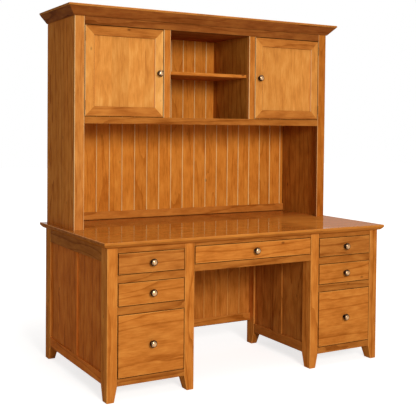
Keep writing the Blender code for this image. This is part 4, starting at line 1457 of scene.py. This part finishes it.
@dataclass
class Door:
    """An inset door: four mitred members round a sunk panel, a knob and two hinges."""

    side: str
    member: float = 0.050
    gap: float = OPENING_GAP
    rail_ease: float = 0.0015
    rail_wear: float = 0.08
    rail_pooled: float = 0.8
    stile_wear: float = 0.9
    stile_pooled: float = 1.0
    sight_highlight: float = 0.6
    panel_ease: float = 0.0008

    @property
    def body(self) -> str:
        """The CAD body of the door."""
        return f"{self.side}_door"

    def build(self) -> None:
        """Models and dresses the door."""
        x, y, z = self.leaf_spans()
        self.build_rails(x, y, z)
        self.build_stiles(x, y, z)
        inset = self.member
        panel = Board(
            f"{self.body}_sunk_panel", (x[0] + inset + JOINT_LINE, x[1] - inset - JOINT_LINE),
            spans(f"{self.body}_panel")[1], (z[0] + inset + JOINT_LINE, z[1] - inset - JOINT_LINE),
            GrainAxis.Z,
            ease=self.panel_ease, wear_and_highlight=0.0,
        )
        panel.fit(PALE_ALDER, "door_panel", f"{self.body}_panel", body=self.body)
        Knob(f"{self.body}_knob", self.body).build()
        hand = -1.0 if self.side == "left" else 1.0
        for level in ("lower", "upper"):
            Hinge(f"{self.side}_{level}_hinge", self.body, hand).build()

    def build_rails(self, x: Span, y: Span, z: Span) -> None:
        """Models and dresses the two rails, mitred at both ends.

        Args:
            x: Where the door starts and ends from left to right.
            y: The same from front to back.
            z: The same from the floor up.
        """
        rails = {
            "bottom": ((z[0], z[0] + self.member), z[0], 1.0),
            "top": ((z[1] - self.member, z[1]), z[1], -1.0),
        }
        for word, (height, edge, up) in rails.items():
            ends = zip(x, (-1.0, 1.0))
            cuts = [(Vector((end, 0.0, edge)), Vector((out, 0.0, up))) for end, out in ends]
            # Painted shade on the faces in the gaps round the rail
            rail = Board(
                f"{self.body}_{word}_rail", x, y, height, GrainAxis.X,
                ease=self.rail_ease, wear_and_highlight=self.rail_wear, pooled=self.rail_pooled, cuts=cuts,
            )
            rail.fit(DOOR_ALDER, "door_frame", f"{self.body}_frame", body=self.body)

    def build_stiles(self, x: Span, y: Span, z: Span) -> None:
        """Models and dresses the two stiles, mitred at both ends, with painted shade in the gaps beside them
        and a painted highlight on the edge towards the panel.

        Args:
            x: Where the door starts and ends from left to right.
            y: The same from front to back.
            z: The same from the floor up.
        """
        stiles = {
            "left": ((x[0], x[0] + self.member), x[0], 1.0),
            "right": ((x[1] - self.member, x[1]), x[1], -1.0),
        }
        for word, (width, edge, across) in stiles.items():
            ends = zip(z, (-1.0, 1.0))
            cuts = [(Vector((edge, 0.0, end)), Vector((across, 0.0, out))) for end, out in ends]
            stile = Board(
                f"{self.body}_{word}_stile", width, y, z, GrainAxis.Z,
                wear_and_highlight=self.stile_wear, pooled=self.stile_pooled, cuts=cuts,
            ).build()

            def sight_edge(face: bpy.types.MeshPolygon) -> bool:
                """Says whether a face looks towards the panel."""
                return face.normal.x * across > ASIDE

            # Painted shade on the faces in the gaps beside the stile; its edge towards the panel is paled
            # instead, as a painted highlight
            mark_gap_shade(stile, self.stile_pooled, lambda face: face.normal.x > LEANING)
            mark_faces(stile, GAP_SHADE_ATTRIBUTE, 0.0, sight_edge)
            mark_faces(stile, WORN_AND_HIGHLIT_ATTRIBUTE, self.sight_highlight, sight_edge)
            wood = SAP_ALDER if (self.side, word) == ("left", "right") else PALE_ALDER
            hang(stile, wood.dress(GrainAxis.Z), "door_frame", f"{self.body}_frame", body=self.body)

    def leaf_spans(self) -> tuple[Span, Span, Span]:
        """Finds where the door itself starts and ends, without its hinge leaves.

        Returns:
            Its ends from left to right, from front to back and from the floor up.
        """
        low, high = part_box(f"{self.body}_frame")
        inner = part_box("cubby_right_partition")[0].x + HutchCase.mullion + self.gap
        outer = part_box("hutch_face_frame")[1].x - HutchCase.stile - self.gap
        low.x, high.x = (-outer, -inner) if self.side == "left" else (inner, outer)
        return (low.x, high.x), (low.y, high.y), (low.z, high.z)


@dataclass
class Hinge:
    """A butt hinge: a barrel of knuckles with round tips, a fixed leaf and a leaf on the door.

    The tip, the shoulder and the groove's radius are shares of the barrel's radius.
    """

    node: str
    body: str
    hand: float
    radius: float = 0.003
    sides: int = 24
    tip: float = 0.3
    shoulder: float = 0.8
    shoulder_length: float = 0.0008
    end: float = 0.002
    knuckles: int = 5
    groove: float = 0.0005
    groove_radius: float = 0.82
    leaf: float = 0.001
    leaf_ease: float = 0.0002
    leaf_depth: float = 0.015
    fixed_inset: float = 0.001
    door_inset: float = 0.002
    gap: float = OPENING_GAP

    def build(self) -> None:
        """Models and dresses the barrel and both leaves."""
        _, y, z = spans(self.node)
        frame_x, frame_y, _ = spans("hutch_face_frame")
        edge = frame_x[1] - HutchCase.stile
        base = Vector((self.hand * (edge - self.gap / 2), y[0] + self.radius, z[0]))
        rings = self.barrel_rings(z[1] - z[0])
        barrel = turn_rings(f"{self.node}_barrel", base, Vector((0.0, 0.0, 1.0)), rings, self.sides)
        hang(barrel, AGED_BRASS.dress(), "hinge", self.node)
        height = (z[0] + self.end, z[1] - self.end)
        rear = frame_y[0] + self.leaf_depth
        near = self.hand * (edge - JOINT_LINE)
        fixed = Board(
            f"{self.node}_fixed_leaf", tuple(sorted((near, near - self.hand * self.leaf))),
            (frame_y[0] + self.fixed_inset, rear), height, GrainAxis.Z,
            ease=self.leaf_ease,
        )
        hang(fixed.build(), AGED_BRASS.dress(), "hinge", self.node)
        door_edge = self.hand * (edge - self.gap)
        moving = Board(
            f"{self.node}_door_leaf",
            tuple(sorted((door_edge, door_edge + self.hand * (self.gap - 2 * JOINT_LINE - self.leaf)))),
            (frame_y[0] + self.door_inset, rear), height, GrainAxis.Z,
            ease=self.leaf_ease,
        )
        hang(moving.build(), AGED_BRASS.dress(), "hinge", body=self.body)

    def barrel_rings(self, length: float) -> list[Span]:
        """Lists the rings of the barrel, with a groove between each two knuckles.

        Args:
            length: The barrel's length.

        Returns:
            Each ring's radius and its distance from the foot.
        """
        tip, shoulder = self.radius * self.tip, self.radius * self.shoulder
        groove = self.radius * self.groove_radius
        rings = [(tip, 0.0), (shoulder, self.shoulder_length)]
        pitch = (length - 2 * self.end) / self.knuckles
        for number in range(self.knuckles):
            start = self.end + number * pitch
            rings += [
                (groove, start),
                (self.radius, start + self.groove),
                (self.radius, start + pitch - self.groove),
                (groove, start + pitch - self.groove / 4),
            ]
        return rings + [(shoulder, length - self.shoulder_length), (tip, length)]


@dataclass(frozen=True)
class SoftLamp:
    """A soft box lamp aimed at a point."""

    name: str
    place: Triple
    aim: Triple
    size: float
    watts: float

    def light(self) -> None:
        """Puts up the lamp."""
        lamp = bpy.data.lights.new(self.name, "AREA")
        lamp.shape = "DISK"
        lamp.size = self.size
        lamp.energy = self.watts
        holder = bpy.data.objects.new(self.name, lamp)
        bpy.context.scene.collection.objects.link(holder)
        holder.location = self.place
        way = Vector(self.aim) - Vector(self.place)
        holder.rotation_euler = way.to_track_quat("-Z", "Y").to_euler()


@dataclass
class Studio:
    """A pale floor, soft lamps and a camera where the photograph was taken."""

    camera_place: Triple = (-2.2606, -3.7867, 1.2792)
    turn_right: float = 29.1374
    look_down: float = 1.6869
    roll: float = 0.5028
    focal_pixels: float = 793.885
    axis_pixel: Span = (189.98, 151.95)
    image_pixels: float = 416.0
    sensor: float = 36.0
    floor_size: float = 40.0
    floor_colour: str = "#D6D4D0"
    floor_roughness: float = 0.95
    floor_white: float = 0.74
    shade_reach: Span = (1.2, 3.2)
    ambient: float = 0.29
    lamps: tuple[SoftLamp, ...] = (
        SoftLamp("key_softbox", place=(-1.0, -5.2, 2.5), aim=(0.0, 0.0, 1.0), size=1.7, watts=176.0),
        SoftLamp("top_softbox", place=(0.3, -0.6, 4.6), aim=(0.0, 0.0, 0.7), size=2.4, watts=50.0),
    )

    def build(self) -> None:
        """Sets up floor, world, lamps, camera and view."""
        self.lay_floor()
        self.light_world()
        for lamp in self.lamps:
            lamp.light()
        self.set_camera()
        bpy.context.scene.view_settings.view_transform = "Standard"

    def lay_floor(self) -> None:
        """Lays a floor that the camera sees as nearly white, with only a faint shadow."""
        bpy.ops.object.select_all(action="DESELECT")
        bpy.ops.mesh.primitive_plane_add(size=self.floor_size, location=(0.0, 0.0, -JOINT_LINE))
        floor = bpy.context.active_object
        floor.name = "studio_floor"
        material = bpy.data.materials.new("studio_paper")
        material.use_nodes = True
        tree = material.node_tree
        shader = tree.nodes["Principled BSDF"]
        feed(
            shader,
            {
                "Base Color": linear_colour(self.floor_colour),
                "Roughness": self.floor_roughness,
                "Specular IOR Level": 0.0,
            },
        )
        here = add_node(tree, "TexCoord").outputs["Object"]
        away = add_node(tree, "VectorMath", {0: here}, operation="LENGTH")
        start, end = self.shade_reach
        fade = {"From Min": start, "From Max": end, "To Min": self.floor_white}
        faded = add_node(tree, "MapRange", {"Value": away.outputs["Value"], **fade})
        seen = self.seen_directly(tree)
        strength = add_node(tree, "Math", {0: seen, 1: faded}, operation="MULTIPLY")
        white = add_node(tree, "Emission", {"Strength": strength})
        lifted = add_node(tree, "AddShader", {0: shader, 1: white})
        feed(tree.nodes["Material Output"], {"Surface": lifted})
        floor.data.materials.append(material)

    @staticmethod
    def seen_directly(tree: Tree) -> Source:
        """Says whether a ray comes from the camera or from a reflection.

        Args:
            tree: The tree of the floor's material or the world.

        Returns:
            One for such rays and zero for the rest.
        """
        path = add_node(tree, "LightPath").outputs
        seen = path["Is Camera Ray"]
        for ray in ("Is Glossy Ray", "Is Transmission Ray"):
            seen = add_node(tree, "Math", {0: seen, 1: path[ray]}, operation="MAXIMUM")
        return seen

    def light_world(self) -> None:
        """Lights the room evenly and shows it white."""
        world = bpy.data.worlds.new("studio_room")
        bpy.context.scene.world = world
        world.use_nodes = True
        tree = world.node_tree
        seen = self.seen_directly(tree)
        strength = add_node(tree, "MapRange", {"Value": seen, "To Min": self.ambient})
        feed(tree.nodes["Background"], {"Color": (1.0, 1.0, 1.0, 1.0), "Strength": strength})

    def set_camera(self) -> None:
        """Puts the camera where the photograph was taken."""
        yaw, pitch, roll = (math.radians(angle) for angle in (self.turn_right, self.look_down, self.roll))
        ahead = Vector((
            math.sin(yaw) * math.cos(pitch), math.cos(yaw) * math.cos(pitch), -math.sin(pitch)
        ))
        level = Vector((math.cos(yaw), -math.sin(yaw), 0.0))
        upright = level.cross(ahead)
        right = level * math.cos(roll) + upright * math.sin(roll)
        up = upright * math.cos(roll) - level * math.sin(roll)
        data = bpy.data.cameras.new("photo_camera")
        data.sensor_width = self.sensor
        data.lens = self.focal_pixels / self.image_pixels * self.sensor
        data.shift_x = 0.5 - self.axis_pixel[0] / self.image_pixels
        data.shift_y = self.axis_pixel[1] / self.image_pixels - 0.5
        camera = bpy.data.objects.new("photo_camera", data)
        bpy.context.scene.collection.objects.link(camera)
        turned = Matrix((right, up, -ahead)).transposed().to_4x4()
        camera.matrix_world = Matrix.Translation(self.camera_place) @ turned
        bpy.context.scene.camera = camera


def main() -> None:
    """Builds the desk from the floor up, then the studio round it."""
    logging.basicConfig(level=logging.INFO, format="%(name)s: %(message)s")
    DeskTop().build()
    for side in SIDES:
        for post in ("front_outer", "rear_outer", "front_knee", "rear_knee"):
            Leg(f"{side}_{post}_leg").build()
        FramedSide(f"{side}_end_panel").build()
        FramedSide(f"{side}_knee_panel").build()
        levels = ("upper", "middle", "file")
        drawers = tuple(f"{side}_{level}_drawer" for level in levels)
        DrawerFrame(f"{side}_drawer_frame", drawers).build()
        Beadboard(f"{side}_pedestal_back", faces_back=True, has_rail=False).build()
        for drawer in drawers:
            Drawer(drawer).build()
    DrawerFrame("centre_drawer_frame", ("centre_drawer",)).build()
    Drawer("centre_drawer").build()
    Beadboard("modesty_panel", wear_and_highlight=0.8).build()
    Beadboard("hutch_back").build()
    HutchCase().build()
    Crown().build()
    for side in SIDES:
        Door(side).build()
    Studio().build()


if __name__ == "__main__":
    main()
